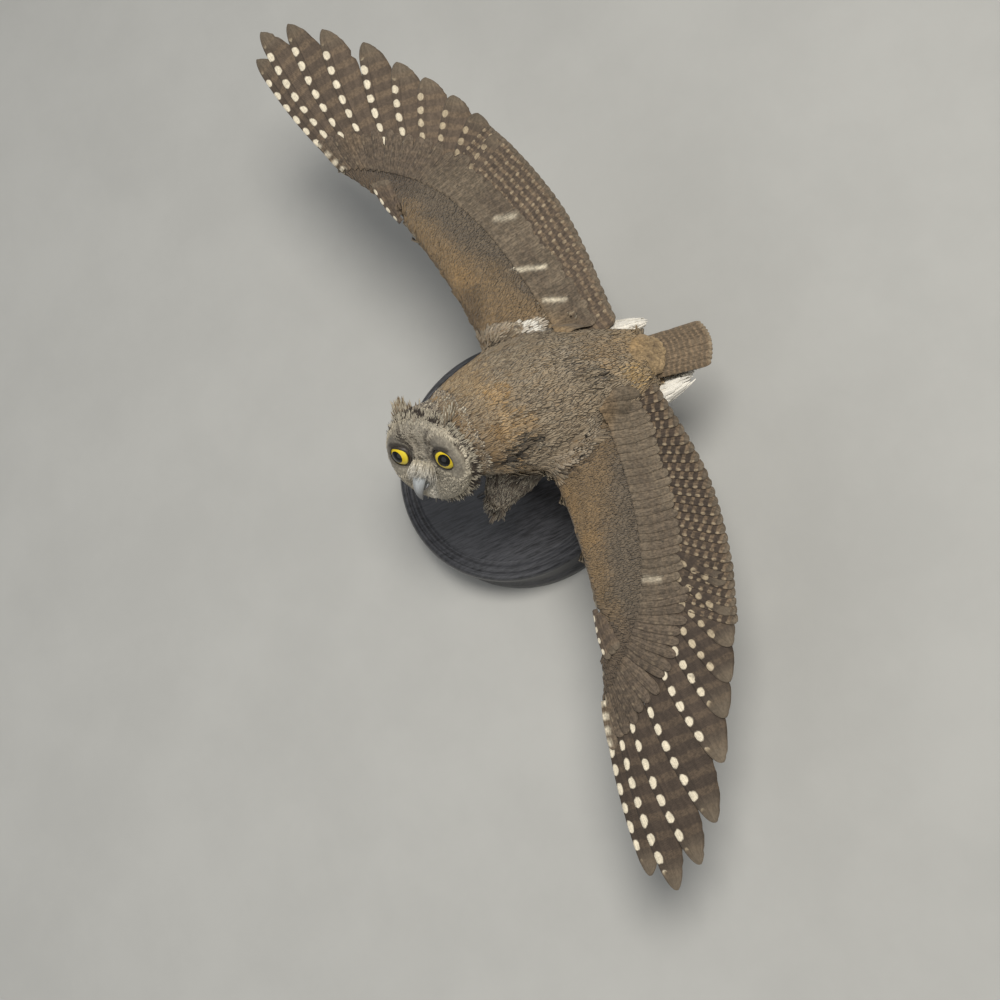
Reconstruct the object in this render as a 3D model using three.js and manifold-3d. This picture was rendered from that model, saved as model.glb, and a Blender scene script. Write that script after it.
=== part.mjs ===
// A mounted scops owl with its wings spread, coming down on a small turned base, at life size.
// Millimetres, +Z up. The origin is the middle of the base's underside. The bird faces -Y,
// its right wing reaches towards -X and its left wing towards +X.
import * as THREE from 'three';
import { mergeVertices } from 'three/addons/utils/BufferGeometryUtils.js';
import Module from 'manifold-3d';

const wasm = await Module();
wasm.setup();

// ---------------------------------------------------------------- driving dimensions

const GAP = 0.3;                    // air left between two pieces that touch

const BASE_RADIUS = 70.8;           // foot of the turned base
const BASE_HEIGHT = 30;
const BASE_FLAT_RADIUS = 60.6;      // flat top inside the moulding
const BASE_SEGMENTS = 44;

// Stations along the body, from the root of the tail to inside the head.
// at is the middle, wide and tall are half sizes with the plumage on.
const BODY_STATIONS = [
  { at: [11, 108, 99], wide: 16, tall: 9 },
  { at: [10.5, 96, 99], wide: 23, tall: 16 },
  { at: [10, 78, 101], wide: 30, tall: 25 },
  { at: [8, 56, 105], wide: 36, tall: 31 },
  { at: [7, 34, 108], wide: 37, tall: 31 },
  { at: [7, 16, 112], wide: 32, tall: 28 },
  { at: [9, 3, 117], wide: 27, tall: 25 },
  { at: [11, -7, 120], wide: 22, tall: 22 },
];
const BODY_BANK = 0.07;             // radians, right side up
const BODY_SIDES = 20;
const RUMP_END = 0.22;              // shares of the spine where the body is parted
const TRUNK_END = 0.70;
const NECK_END = 0.95;

const HEAD_AT = [11.8, -10.8, 120];
const HEAD_FACING = [0.552, -0.537, 0.638];
const HEAD_CROWN = [-0.636, 0.224, 0.739];
const FACE_FROM = 8.5;              // where the facial disc is parted from the skull cap
// Sections along the facing axis: ahead of the head's middle, half width, half height, lift.
const HEAD_STATIONS = [
  [-25, 6, 6, 0], [-21, 15, 14, 0], [-13, 23.5, 22, 0], [-3, 27.2, 25.3, 0.3],
  [FACE_FROM, 27.4, 25.4, -1], [12.5, 25.8, 23.8, -1.4], [15.2, 22.4, 20.6, -1.4], [14.6, 17, 15.5, -1],
  [13.2, 11, 10, -0.5], [15.2, 3.6, 4.5, 0],
];
const HEAD_SIDES = 20;
const EYE_AT = [8.7, 14.6, 2.4];    // ahead, aside and above the head's middle
const EYE_RADIUS = 7.2;
const TUFT_ROOT = [0, 15, 18];
const TUFT_TIP = [2.5, 18.5, 31];

const BILL_PATH = [[11, 0, -1.5], [17.5, 0, -4.2], [21.8, 0, -8], [23.8, 0, -12.6], [23, 0, -17]];
const BILL_RADII = [[3.4, 3.0], [4.2, 3.4], [3.6, 3.0], [2.2, 2.0], [0.5, 0.5]];
const MANDIBLE_PATH = [[11, 0, -9.2], [16, 0, -11.6], [19.6, 0, -13.2]];
const MANDIBLE_RADII = [[3.0, 1.5], [2.6, 1.2], [0.8, 0.5]];

const TAIL_FROM = [9.8, 108.8, 98.5];
const TAIL_TO = [14.5, 139, 94];
const TAIL_ROOT_HALF_WIDTH = 13.5;
const TAIL_TIP_HALF_WIDTH = 13.5;
const TAIL_FEATHERS = 9;            // those that show in the closed tail
const TAIL_THICKNESS = 1.6;
const TAIL_RIDGE = 2.6;             // how much the middle stands above the edges

// Soft plumes about the tail: middle line, and half width and half height at three places.
const PLUMES = {
  undertail_coverts: {
    path: [[14, 96, 82], [17, 112, 84], [20, 126, 87.5]],
    radii: [[12, 5.5], [11, 4], [3, 1]],
  },
  flank_plume_left: {
    path: [[27, 84, 88], [30, 101, 91], [28.5, 123, 92]],
    radii: [[8, 6], [6.5, 4.5], [1.6, 1]],
  },
  flank_plume_right: {
    path: [[-13, 84, 92], [-11.5, 98, 97], [-7, 113, 99]],
    radii: [[7, 6], [5, 4], [1.2, 1]],
  },
  breast_plumes: {
    path: [[12, 32, 84], [26, 13, 81], [40, -6, 76]],
    radii: [[20, 15], [18, 13], [6, 3.5]],
  },
};

// Legs, swung forward and down to the base: hip, ankle and sole of each.
const LEGS = {
  left: { side: 1, hip: [20, 48, 76], ankle: [21, 15, 56], sole: [14, -4, BASE_HEIGHT], turn: 0.05 },
  right: { side: -1, hip: [-8, 48, 78], ankle: [-13, 16, 58], sole: [-18, -2, BASE_HEIGHT], turn: 0 },
};
const THIGH_RADII = [[13, 13], [12, 11.5], [7.5, 7]];
const TARSUS_RADII = [[6, 6], [5.2, 5], [4.3, 4.3]];
const TOE_RADIUS = 2.1;
const TOES = [                      // turn outward from straight ahead, reach
  { turn: -0.75, reach: 12 },
  { turn: -0.1, reach: 16 },
  { turn: 0.55, reach: 15 },
  { turn: Math.PI - 0.35, reach: 10 },
];
const CLAW_LENGTH = 6.5;

// The wing is drawn flat, then bent. along runs from the shoulder to the tip and back runs
// from the leading edge to the trailing edge.
const WINGS = {
  right: { side: -1, shoulder: [-26, 45, 113], sweep: 0.255, rise: 60, droop: 22, reach: 1.0 },
  left: { side: 1, shoulder: [40, 52, 106], sweep: 0.154, rise: 14, droop: 35, reach: 0.965 },
};
const WING_SPAN = 233;              // shoulder to the longest primary's tip
const CAMBER = 5;                   // how much mid chord stands above the edges
const CAMBER_MIDDLE = 22;
const CAMBER_CHORD = 40;
const LEAD_EDGE = [[-14, -20], [0, -17], [30, -11], [60, -8], [88, -7.5], [105, -9], [125, -13], [140, -15.2]];
const COVERT_EDGE = [[-14, 33], [0, 35], [30, 37.5], [60, 37], [88, 31], [105, 22], [125, 7], [138, -6]];
const TRAIL_EDGE = [[-24, 49], [-5, 54], [15, 59.5], [40, 64.5], [65, 65.5], [86, 64.5]];
const WING_PARTS = {                // stretch along the wing, in order from the body
  upper_arm: [-12, 27],
  forearm: [27 + GAP, 88],
  hand: [88 + GAP, 137.5],
};
const ARM_TOP = [[-14, 11], [0, 10.5], [30, 8], [60, 6.5], [88, 5], [120, 2.6], [138, 1.1]];
const ARM_UNDER = [[-14, 8], [0, 7], [30, 5], [60, 4.2], [88, 3.4], [120, 1.8], [138, 0.8]];
const REAR_HALF_THICKNESS = 0.6;
const ALULA = { from: 89, to: 113, width: 3, room: 6 };
const VANE_TOP = 0.45;              // flight feathers, above and below the wing's plane
const VANE_UNDER = -0.35;

const SECONDARIES = { from: 14, to: 87.5, count: 10 };
const TERTIALS = { from: -19, to: 14 - GAP, count: 4 };
const SCALLOP = 2.2;                // how far a feather tip stands out of the trailing edge

const PRIMARY_COUNT = 10;
const FAN_CENTRE = [105, 5];
const PRIMARY_REACH = [[1, 61], [2, 58], [3, 57.5], [4, 61.5], [5, 69.5], [6, 85], [7, 103], [8, 119], [9, 128.5], [10, 120]];
const PRIMARY_TURN = [[1, 103], [2, 87], [3, 70], [4, 52], [5, 37], [6, 24], [7, 12], [8, 4], [9, -3], [10, -8.8]];
const PRIMARY_ROOT = [[1, 92.5], [5, 113], [10, 134.5]];
const ROOT_DEPTH = 6.5;             // how far a quill's line starts under the coverts
const LEADING_VANE = 3.2;
const TRAILING_VANE = 15;
const VANE_BOW = 0.03;
const TIP_FROM = 0.78;              // where a feather's tip starts to round off
const VANE_STATIONS = 10;

// ---------------------------------------------------------------- general helpers

const vec = (p) => new THREE.Vector3(...p);
const mix = THREE.MathUtils.lerp;

/** A smooth function through a few [x, y] stations. */
function through(stations) {
  const last = stations.length - 1;
  return (x) => {
    let i = 0;
    while (i < last - 1 && x > stations[i + 1][0]) i += 1;
    const [x0, y0] = stations[i];
    const [x1, y1] = stations[i + 1];
    const slope = (a, b) => (stations[b][1] - stations[a][1]) / (stations[b][0] - stations[a][0]);
    const m0 = slope(Math.max(i - 1, 0), i + 1) * (x1 - x0);
    const m1 = slope(i, Math.min(i + 2, last)) * (x1 - x0);
    const t = (x - x0) / (x1 - x0);
    if (t < 0 || t > 1) return t < 0 ? y0 + m0 * t : y1 + m1 * (t - 1);
    const t2 = t * t;
    const t3 = t2 * t;
    return (2 * t3 - 3 * t2 + 1) * y0 + (t3 - 2 * t2 + t) * m0
      + (-2 * t3 + 3 * t2) * y1 + (t3 - t2) * m1;
  };
}

/** A closed mesh from points and triangles, with doubles merged and the faces turned outward. */
function closed(points, triangles) {
  const raw = new THREE.BufferGeometry();
  raw.setAttribute('position', new THREE.Float32BufferAttribute(points.flatMap((p) => [p.x, p.y, p.z]), 3));
  raw.setIndex(triangles.flat());
  return tidy(raw);
}

/** Merges doubles, drops flat triangles and turns the faces outward. */
function tidy(geometry) {
  geometry.deleteAttribute('normal');
  geometry.deleteAttribute('uv');
  const merged = mergeVertices(geometry, 1e-4);
  const position = merged.getAttribute('position');
  const index = [...merged.getIndex().array];
  const kept = [];
  let volume = 0;
  for (let i = 0; i < index.length; i += 3) {
    const [a, b, c] = index.slice(i, i + 3);
    if (a === b || b === c || a === c) continue;
    kept.push([a, b, c]);
    const [pa, pb, pc] = [a, b, c].map((n) => new THREE.Vector3().fromBufferAttribute(position, n));
    volume += pa.dot(pb.cross(pc));
  }
  merged.setIndex(kept.flatMap(([a, b, c]) => (volume < 0 ? [a, c, b] : [a, b, c])));
  merged.computeVertexNormals();
  return merged;
}

/** Joins rings of points into a closed body with flat ends. */
function skin(rings) {
  const sides = rings[0].length;
  const points = rings.flat();
  const triangles = [];
  for (let r = 0; r < rings.length - 1; r += 1) {
    for (let s = 0; s < sides; s += 1) {
      const a = r * sides + s;
      const b = r * sides + ((s + 1) % sides);
      triangles.push([a, b, b + sides], [a, b + sides, a + sides]);
    }
  }
  for (const [r, turned] of [[0, true], [rings.length - 1, false]]) {
    const middle = points.length;
    const sum = rings[r].reduce((total, p) => total.add(p), new THREE.Vector3());
    points.push(sum.divideScalar(sides));
    for (let s = 0; s < sides; s += 1) {
      const a = r * sides + s;
      const b = r * sides + ((s + 1) % sides);
      triangles.push(turned ? [middle, b, a] : [middle, a, b]);
    }
  }
  return closed(points, triangles);
}

/** A thin closed body from an upper and a lower face drawn over the same grid. */
function slab(across, along, upper, lower) {
  const points = [];
  const at = (layer, i, j) => layer * (across + 1) * (along + 1) + i * (along + 1) + j;
  for (const face of [upper, lower]) {
    for (let i = 0; i <= across; i += 1) {
      for (let j = 0; j <= along; j += 1) points.push(face(i / across, j / along));
    }
  }
  const triangles = [];
  for (let i = 0; i < across; i += 1) {
    for (let j = 0; j < along; j += 1) {
      const top = [at(0, i, j), at(0, i + 1, j), at(0, i + 1, j + 1), at(0, i, j + 1)];
      const low = [at(1, i, j), at(1, i, j + 1), at(1, i + 1, j + 1), at(1, i + 1, j)];
      for (const q of [top, low]) triangles.push([q[0], q[1], q[2]], [q[0], q[2], q[3]]);
    }
  }
  const rim = [];
  for (let i = 0; i < across; i += 1) rim.push([i, 0, i + 1, 0]);
  for (let j = 0; j < along; j += 1) rim.push([across, j, across, j + 1]);
  for (let i = across; i > 0; i -= 1) rim.push([i, along, i - 1, along]);
  for (let j = along; j > 0; j -= 1) rim.push([0, j, 0, j - 1]);
  for (const [i0, j0, i1, j1] of rim) {
    const wall = [at(0, i0, j0), at(1, i0, j0), at(1, i1, j1), at(0, i1, j1)];
    triangles.push([wall[0], wall[1], wall[2]], [wall[0], wall[2], wall[3]]);
  }
  return closed(points, triangles);
}

/** A tapered tube along a path. radii holds half widths and half heights, spaced like the path. */
function limb(path, radii, { sides = 12, rings = 8, grow = 0, up = new THREE.Vector3(0, 0, 1) } = {}) {
  const curve = new THREE.CatmullRomCurve3(path.map(vec), false, 'centripetal');
  const wide = through(radii.map((r, i) => [i / (radii.length - 1), r[0]]));
  const tall = through(radii.map((r, i) => [i / (radii.length - 1), r[1]]));
  const made = [];
  for (let k = 0; k <= rings; k += 1) {
    const t = k / rings;
    const along = curve.getTangent(t);
    const aside = new THREE.Vector3().crossVectors(along, up).normalize();
    const above = new THREE.Vector3().crossVectors(aside, along);
    const middle = curve.getPoint(t);
    if (k === 0) middle.addScaledVector(along, -grow);
    if (k === rings) middle.addScaledVector(along, grow);
    made.push(ellipse(middle, aside, above, wide(t) + grow, tall(t) + grow, sides));
  }
  return skin(made);
}

/** One ring of points round a middle. */
function ellipse(middle, aside, above, wide, tall, sides) {
  return Array.from({ length: sides }, (_, s) => {
    const turn = (2 * Math.PI * s) / sides;
    return middle.clone()
      .addScaledVector(aside, wide * Math.cos(turn))
      .addScaledVector(above, tall * Math.sin(turn));
  });
}

/** A geometry as a manifold-3d solid. */
function solid(geometry) {
  const vertProperties = new Float32Array(geometry.getAttribute('position').array);
  const triVerts = new Uint32Array(geometry.getIndex().array);
  return new wasm.Manifold(new wasm.Mesh({ numProp: 3, vertProperties, triVerts }));
}

/** The largest body of a manifold-3d solid as a geometry. */
function largest(manifold) {
  const bodies = manifold.decompose().sort((a, b) => b.volume() - a.volume());
  const mesh = bodies[0].simplify(0.01).getMesh();
  const geometry = new THREE.BufferGeometry();
  geometry.setAttribute('position', new THREE.Float32BufferAttribute(mesh.vertProperties, 3));
  geometry.setIndex([...mesh.triVerts]);
  return tidy(geometry);
}

/** A geometry with others cut away. */
function cut(geometry, ...tools) {
  return largest(tools.reduce((left, tool) => left.subtract(solid(tool)), solid(geometry)));
}

/** Several geometries as one body. */
function join(...geometries) {
  return largest(geometries.map(solid).reduce((whole, next) => whole.add(next)));
}

// ---------------------------------------------------------------- finishes

const finish = (color, roughness, metalness = 0) => (
  new THREE.MeshStandardMaterial({ color, roughness, metalness })
);
const BLACK_WOOD = finish(0x16130f, 0.35);
const BROWN_PLUMAGE = finish(0x7a6c5a, 0.85);
const TAWNY_PLUMAGE = finish(0x7b6243, 0.85);
const GREY_PLUMAGE = finish(0x8d8475, 0.85);
const PALE_PLUMAGE = finish(0xe6dfd0, 0.9);
const DARK_VANE = finish(0x54483b, 0.7);
const BILL_HORN = finish(0x8f989b, 0.4);
const EYE_GLASS = finish(0xd9b52c, 0.05);
const TOE_SKIN = finish(0xb5a98f, 0.7);

const owl = new THREE.Group();

/** Adds a named piece to a group. */
function place(name, geometry, material, group = owl) {
  const mesh = new THREE.Mesh(geometry, material);
  mesh.name = name;
  group.add(mesh);
}

// ---------------------------------------------------------------- turned base

/** The turned profile, from the middle of the underside to the middle of the top. */
function baseProfile() {
  const profile = [[0, 0], [BASE_RADIUS - 0.5, 0], [BASE_RADIUS - 0.5, 6], [BASE_RADIUS - 2.6, 8.5]];
  profile.push([BASE_RADIUS - 3.2, 16], [BASE_RADIUS - 1.8, 22.5]);
  const beadRadius = 4;
  for (let i = 0; i <= 3; i += 1) {
    const turn = (i / 3) * (Math.PI / 2);
    const out = BASE_RADIUS - beadRadius * (1 - Math.cos(turn));
    profile.push([out, BASE_HEIGHT - beadRadius * (1 - Math.sin(turn))]);
  }
  profile.push([BASE_FLAT_RADIUS + 5.6, BASE_HEIGHT - 0.9], [BASE_FLAT_RADIUS + 3.4, BASE_HEIGHT + 0.3]);
  profile.push([BASE_FLAT_RADIUS + 0.5, BASE_HEIGHT - 0.9], [BASE_FLAT_RADIUS, BASE_HEIGHT], [0, BASE_HEIGHT]);
  return profile.map(([x, y]) => new THREE.Vector2(x, y));
}

const baseGeometry = new THREE.LatheGeometry(baseProfile(), BASE_SEGMENTS);
baseGeometry.rotateX(Math.PI / 2);
place('base', tidy(baseGeometry), BLACK_WOOD);

// ---------------------------------------------------------------- body

const spine = new THREE.CatmullRomCurve3(BODY_STATIONS.map((s) => vec(s.at)), false, 'centripetal');
const stationAt = (i) => i / (BODY_STATIONS.length - 1);
const bodyWide = through(BODY_STATIONS.map((s, i) => [stationAt(i), s.wide]));
const bodyTall = through(BODY_STATIONS.map((s, i) => [stationAt(i), s.tall]));

/** A ring of the body at a share of the spine. */
function bodyRing(t, grow) {
  const inside = THREE.MathUtils.clamp(t, 0, 1);
  const along = spine.getTangent(inside);
  const aside = new THREE.Vector3().crossVectors(along, new THREE.Vector3(0, 0, 1)).normalize();
  const above = new THREE.Vector3().crossVectors(aside, along);
  aside.applyAxisAngle(along, -BODY_BANK);
  above.applyAxisAngle(along, -BODY_BANK);
  const middle = spine.getPoint(inside).addScaledVector(along, (t - inside) * spine.getLength());
  return ellipse(middle, aside, above, bodyWide(inside) + grow, bodyTall(inside) + grow, BODY_SIDES);
}

/** A stretch of the body between two shares of the spine. */
function bodyPart(from, to, rings, grow = 0) {
  return skin(Array.from({ length: rings + 1 }, (_, k) => bodyRing(mix(from, to, k / rings), grow)));
}

const spineStep = GAP / spine.getLength();
const trunkShape = bodyPart(RUMP_END + spineStep, TRUNK_END, 8);
const rumpShape = bodyPart(0, RUMP_END - spineStep, 4);
const bodyRoom = bodyPart(-spineStep, NECK_END, 16, GAP);
place('trunk', trunkShape, BROWN_PLUMAGE);
place('rump', rumpShape, TAWNY_PLUMAGE);

// ---------------------------------------------------------------- head, in its own frame

const facing = vec(HEAD_FACING).normalize();
const headLeft = new THREE.Vector3().crossVectors(vec(HEAD_CROWN), facing).normalize();
const crown = new THREE.Vector3().crossVectors(facing, headLeft);
const head = new THREE.Group();
head.quaternion.setFromRotationMatrix(new THREE.Matrix4().makeBasis(facing, headLeft, crown));
head.position.set(...HEAD_AT);
head.updateMatrix();
owl.add(head);

const AHEAD = new THREE.Vector3(1, 0, 0);
const LEFT = new THREE.Vector3(0, 1, 0);
const UP = new THREE.Vector3(0, 0, 1);

/** The head between two sections, optionally grown all round. */
function headPart(stations, grow = 0) {
  return skin(stations.map(([ahead, wide, tall, lift], k) => {
    const end = k === 0 ? -grow : (k === stations.length - 1 ? grow : 0);
    const middle = new THREE.Vector3(ahead + end, 0, lift);
    return ellipse(middle, LEFT, UP, wide + grow, tall + grow, HEAD_SIDES);
  }));
}

const isCap = ([ahead], k) => ahead <= FACE_FROM && k < HEAD_STATIONS.length - 1;
const capStations = HEAD_STATIONS.filter(isCap);
const faceStations = HEAD_STATIONS.filter(([ahead]) => ahead >= FACE_FROM)
  .map((station, k) => (k === 0 ? [station[0] + GAP, ...station.slice(1)] : station));

/** An eyeball, placed on one side. */
function eyeball(side, radius) {
  const ball = new THREE.SphereGeometry(radius, 12, 8);
  return tidy(ball.translate(EYE_AT[0], side * EYE_AT[1], EYE_AT[2]));
}

const eyeRooms = [1, -1].map((side) => eyeball(side, EYE_RADIUS + GAP));
const upperBill = limb(BILL_PATH, BILL_RADII, { sides: 8, rings: 6, up: AHEAD });
const billRoom = limb(BILL_PATH, BILL_RADII, { sides: 8, rings: 6, up: AHEAD, grow: GAP });
const mandible = limb(MANDIBLE_PATH, MANDIBLE_RADII, { sides: 8, rings: 2 });
const mandibleRoom = limb(MANDIBLE_PATH, MANDIBLE_RADII, { sides: 8, rings: 2, grow: GAP });

place('head', cut(headPart(capStations), ...eyeRooms), GREY_PLUMAGE, head);
place('facial_disc', cut(headPart(faceStations), ...eyeRooms, billRoom, mandibleRoom), GREY_PLUMAGE, head);
place('bill_upper', upperBill, BILL_HORN, head);
place('bill_lower', cut(mandible, billRoom), BILL_HORN, head);
const headRoom = headPart(HEAD_STATIONS, GAP);
const bodyRoomInHead = tidy(bodyRoom.clone().applyMatrix4(head.matrix.clone().invert()));
for (const [name, side] of [['left', 1], ['right', -1]]) {
  place(`eye_${name}`, eyeball(side, EYE_RADIUS), EYE_GLASS, head);
  const onSide = ([x, y, z]) => [x, side * y, z];
  const tuft = limb([onSide(TUFT_ROOT), onSide(TUFT_TIP)], [[5, 2.8], [0.7, 0.5]], { sides: 8, rings: 4, up: AHEAD });
  place(`ear_tuft_${name}`, cut(tuft, headRoom, bodyRoomInHead), GREY_PLUMAGE, head);
}

const headRoomInWorld = tidy(headRoom.clone().applyMatrix4(head.matrix));
const neckShape = bodyPart(TRUNK_END + spineStep, NECK_END, 4);
place('neck', cut(neckShape, headRoomInWorld), BROWN_PLUMAGE);

// ---------------------------------------------------------------- tail and its plumes

/** A point of the tail: across runs from -1 to 1, along from 0 at the root to 1 at the tip. */
function tailPoint(across, along, height) {
  const line = vec(TAIL_TO).sub(vec(TAIL_FROM));
  const aside = new THREE.Vector3().crossVectors(line, UP).normalize();
  const above = new THREE.Vector3().crossVectors(aside, line).normalize();
  const halfWidth = mix(TAIL_ROOT_HALF_WIDTH, TAIL_TIP_HALF_WIDTH, along);
  const feather = Math.abs(Math.sin((across + 1) / 2 * TAIL_FEATHERS * Math.PI));
  const reach = along * (1 - 0.10 * across * across) + (along === 1 ? 0.03 * feather : 0);
  return vec(TAIL_FROM)
    .addScaledVector(line, reach)
    .addScaledVector(aside, across * halfWidth)
    .addScaledVector(above, height - TAIL_RIDGE * across * across);
}

const tailShape = slab(TAIL_FEATHERS * 2, 2,
  (u, v) => tailPoint(2 * u - 1, v, TAIL_THICKNESS / 2),
  (u, v) => tailPoint(2 * u - 1, v, -TAIL_THICKNESS / 2));
place('tail', cut(tailShape, bodyRoom), TAWNY_PLUMAGE);

/** One soft plume, optionally grown all round. */
function plumeShape({ path, radii }, grow = 0) {
  return limb(path, radii, { sides: 10, rings: 5, grow });
}
for (const [name, plume] of Object.entries(PLUMES)) {
  place(name, cut(plumeShape(plume), bodyRoom), PALE_PLUMAGE);
}
const breastRoom = plumeShape(PLUMES.breast_plumes, GAP);

// ---------------------------------------------------------------- legs and feet

/** A foot in its own frame: toes ahead are along -Y, the sole is at height 0. */
function foot(side) {
  const parts = TOES.map(({ turn, reach }) => {
    const out = (far, high) => [side * far * Math.sin(turn), -far * Math.cos(turn), high];
    const path = [out(0, 4.6), out(reach * 0.4, 3.6), out(reach * 0.75, 3), out(reach, TOE_RADIUS + 0.35)];
    const toe = limb(path, [[2.6, 2.6], [2.1, 2.1], [2, 2], [1.5, 1.5]], { sides: 5, rings: 3 });
    const tip = [out(reach - 1, TOE_RADIUS + 0.6), out(reach + CLAW_LENGTH * 0.55, 2.5), out(reach + CLAW_LENGTH, 0.5)];
    const claw = limb(tip, [[1.1, 1.1], [0.9, 0.9], [0.25, 0.25]], { sides: 4, rings: 2 });
    return join(toe, claw);
  });
  return join(...parts);
}

for (const [name, leg] of Object.entries(LEGS)) {
  const middle = (share) => vec(leg.hip).lerp(vec(leg.ankle), share).toArray();
  const thigh = limb([leg.hip, middle(0.5), leg.ankle], THIGH_RADII, { sides: 10, rings: 5 });
  const thighRoom = limb([leg.hip, middle(0.5), leg.ankle], THIGH_RADII, { sides: 10, rings: 5, grow: GAP });
  const sole = vec(leg.sole);
  const heel = [sole.x, sole.y, sole.z + 5.5];
  const bend = vec(leg.ankle).lerp(vec(heel), 0.5).add(new THREE.Vector3(0, 1.5, 0)).toArray();
  const tarsus = limb([leg.ankle, bend, heel], TARSUS_RADII, { sides: 8, rings: 4 });
  const planted = foot(leg.side).rotateZ(leg.turn).translate(sole.x, sole.y, sole.z + GAP);
  const footRoom = new THREE.SphereGeometry(6.6, 10, 8).translate(...heel);
  place(`thigh_${name}`, cut(thigh, bodyRoom, breastRoom), PALE_PLUMAGE);
  place(`tarsus_${name}`, cut(tarsus, thighRoom, breastRoom, tidy(footRoom)), PALE_PLUMAGE);
  place(`foot_${name}`, planted, TOE_SKIN);
}

// ---------------------------------------------------------------- wings

const leadEdge = through(LEAD_EDGE);
const covertEdge = through(COVERT_EDGE);
const trailEdge = through(TRAIL_EDGE);
const armTop = through(ARM_TOP);
const armUnder = through(ARM_UNDER);

/** Bends a point of the flat wing into place. */
function bend(wing, along, back, height) {
  const share = along / WING_SPAN;
  const reach = along * wing.reach;
  const chord = (back - CAMBER_MIDDLE) / CAMBER_CHORD;
  const lift = wing.rise * share - wing.droop * share * share - CAMBER * chord * chord;
  const [x, y, z] = wing.shoulder;
  return new THREE.Vector3(
    x + wing.side * (reach * Math.cos(wing.sweep) + back * Math.sin(wing.sweep)),
    y - reach * Math.sin(wing.sweep) + back * Math.cos(wing.sweep),
    z + lift + height,
  );
}

/** Bends a whole flat geometry into place. */
function bendAll(wing, geometry) {
  const position = geometry.getAttribute('position');
  for (let i = 0; i < position.count; i += 1) {
    const p = bend(wing, position.getX(i), position.getY(i), position.getZ(i));
    position.setXYZ(i, p.x, p.y, p.z);
  }
  return tidy(geometry);
}

/** The fleshy front of the wing with its coverts, between two places along it. */
function armPart(wing, from, to, steps) {
  const face = (depth, sign) => (u, v) => {
    const along = mix(from, to, u);
    const share = (1 - Math.cos(v * Math.PI)) / 2;
    const back = mix(leadEdge(along), covertEdge(along), share);
    const bulge = Math.sqrt(share) * (1 - share) * 2.4;
    return bend(wing, along, back, sign * (depth(along) * bulge + REAR_HALF_THICKNESS * Math.min(1, 4 * share)));
  };
  return slab(steps, 6, face(armTop, 1), face(armUnder, -1));
}

/** A row of flight feathers along the trailing edge, as one scalloped vane. */
function featherRow(wing, { from, to, count }) {
  const face = (height) => (u, v) => {
    const along = mix(from, to, u);
    const root = covertEdge(Math.max(along, -14)) + GAP + 0.05;
    const scallop = SCALLOP * Math.abs(Math.sin(u * count * Math.PI));
    return bend(wing, mix(along, along - 3, v), mix(root, trailEdge(along) - SCALLOP + scallop, v), height);
  };
  return slab(count * 2, 2, face(VANE_TOP), face(VANE_UNDER));
}

const primaryReach = through(PRIMARY_REACH);
const primaryTurn = through(PRIMARY_TURN);
const primaryRoot = through(PRIMARY_ROOT);

/** The flat outline of one primary, optionally grown, as an upright prism. */
function primaryPrism(number, grow = 0) {
  const turn = THREE.MathUtils.degToRad(primaryTurn(number));
  const reach = primaryReach(number);
  const tip = new THREE.Vector2(FAN_CENTRE[0] + reach * Math.cos(turn), FAN_CENTRE[1] + reach * Math.sin(turn));
  const rootAlong = primaryRoot(number);
  const root = new THREE.Vector2(rootAlong, covertEdge(rootAlong) - ROOT_DEPTH);
  const line = tip.clone().sub(root);
  const length = line.length();
  const ahead = line.clone().normalize();
  const aside = new THREE.Vector2(-ahead.y, ahead.x);
  const leading = [];
  const trailing = [];
  for (let k = 0; k <= VANE_STATIONS; k += 1) {
    const share = k / VANE_STATIONS;
    const bow = Math.sin(share * Math.PI) * length * VANE_BOW;
    const round = Math.sqrt(Math.max(0, 1 - Math.max(0, (share - TIP_FROM) / (1 - TIP_FROM)) ** 2));
    const taper = Math.min(1, (number === PRIMARY_COUNT ? 1 : 0.45) + share) * round;
    const on = root.clone().addScaledVector(ahead, share * length + (k === VANE_STATIONS ? grow : 0))
      .addScaledVector(aside, -bow);
    leading.push(on.clone().addScaledVector(aside, -(LEADING_VANE * taper + grow + 0.3)));
    trailing.push(on.clone().addScaledVector(aside, TRAILING_VANE * taper + grow + 0.3));
  }
  const outline = new THREE.Shape([...leading, ...trailing.reverse()]);
  const deep = VANE_TOP - VANE_UNDER + 2 * grow;
  const prism = new THREE.ExtrudeGeometry(outline, { depth: deep, bevelEnabled: false });
  return tidy(prism.translate(0, 0, VANE_UNDER - grow));
}

/** An upright prism over a flat outline, deeper than the flight feathers. */
function planPrism(outline) {
  const shape = new THREE.Shape(outline.map(([x, y]) => new THREE.Vector2(x, y)));
  const prism = new THREE.ExtrudeGeometry(shape, { depth: 6, bevelEnabled: false });
  return tidy(prism.translate(0, 0, -3));
}

/** The plan of the coverts and of the secondaries, where the primaries stop. */
function innerWingPlan() {
  const tip = WING_PARTS.hand[1] + GAP;
  const coverts = [[60, -40], [tip, -40]];
  for (let along = tip; along >= 60; along -= 4) coverts.push([along, covertEdge(along) + GAP + 0.05]);
  const edge = SECONDARIES.to + GAP;
  const secondaries = [[50, 10], [edge, 10], [edge, covertEdge(edge)], [edge - 3, 68], [edge - 3, 90], [50, 90]];
  return join(planPrism(coverts), planPrism(secondaries));
}

const innerPlan = innerWingPlan();

/** The alula at the front of the hand, optionally grown sideways and upward. */
function alulaPart(wing, grow = 0, high = 0) {
  const face = (height) => (u, v) => {
    const along = mix(ALULA.from - grow, ALULA.to + grow, u);
    const width = ALULA.width * Math.min(1, 3 * (1 - u) + 0.2);
    return bend(wing, along, leadEdge(along) + mix(-grow, width + grow, v), height);
  };
  return slab(5, 1, face(VANE_TOP + high), face(VANE_UNDER - high));
}

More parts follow.
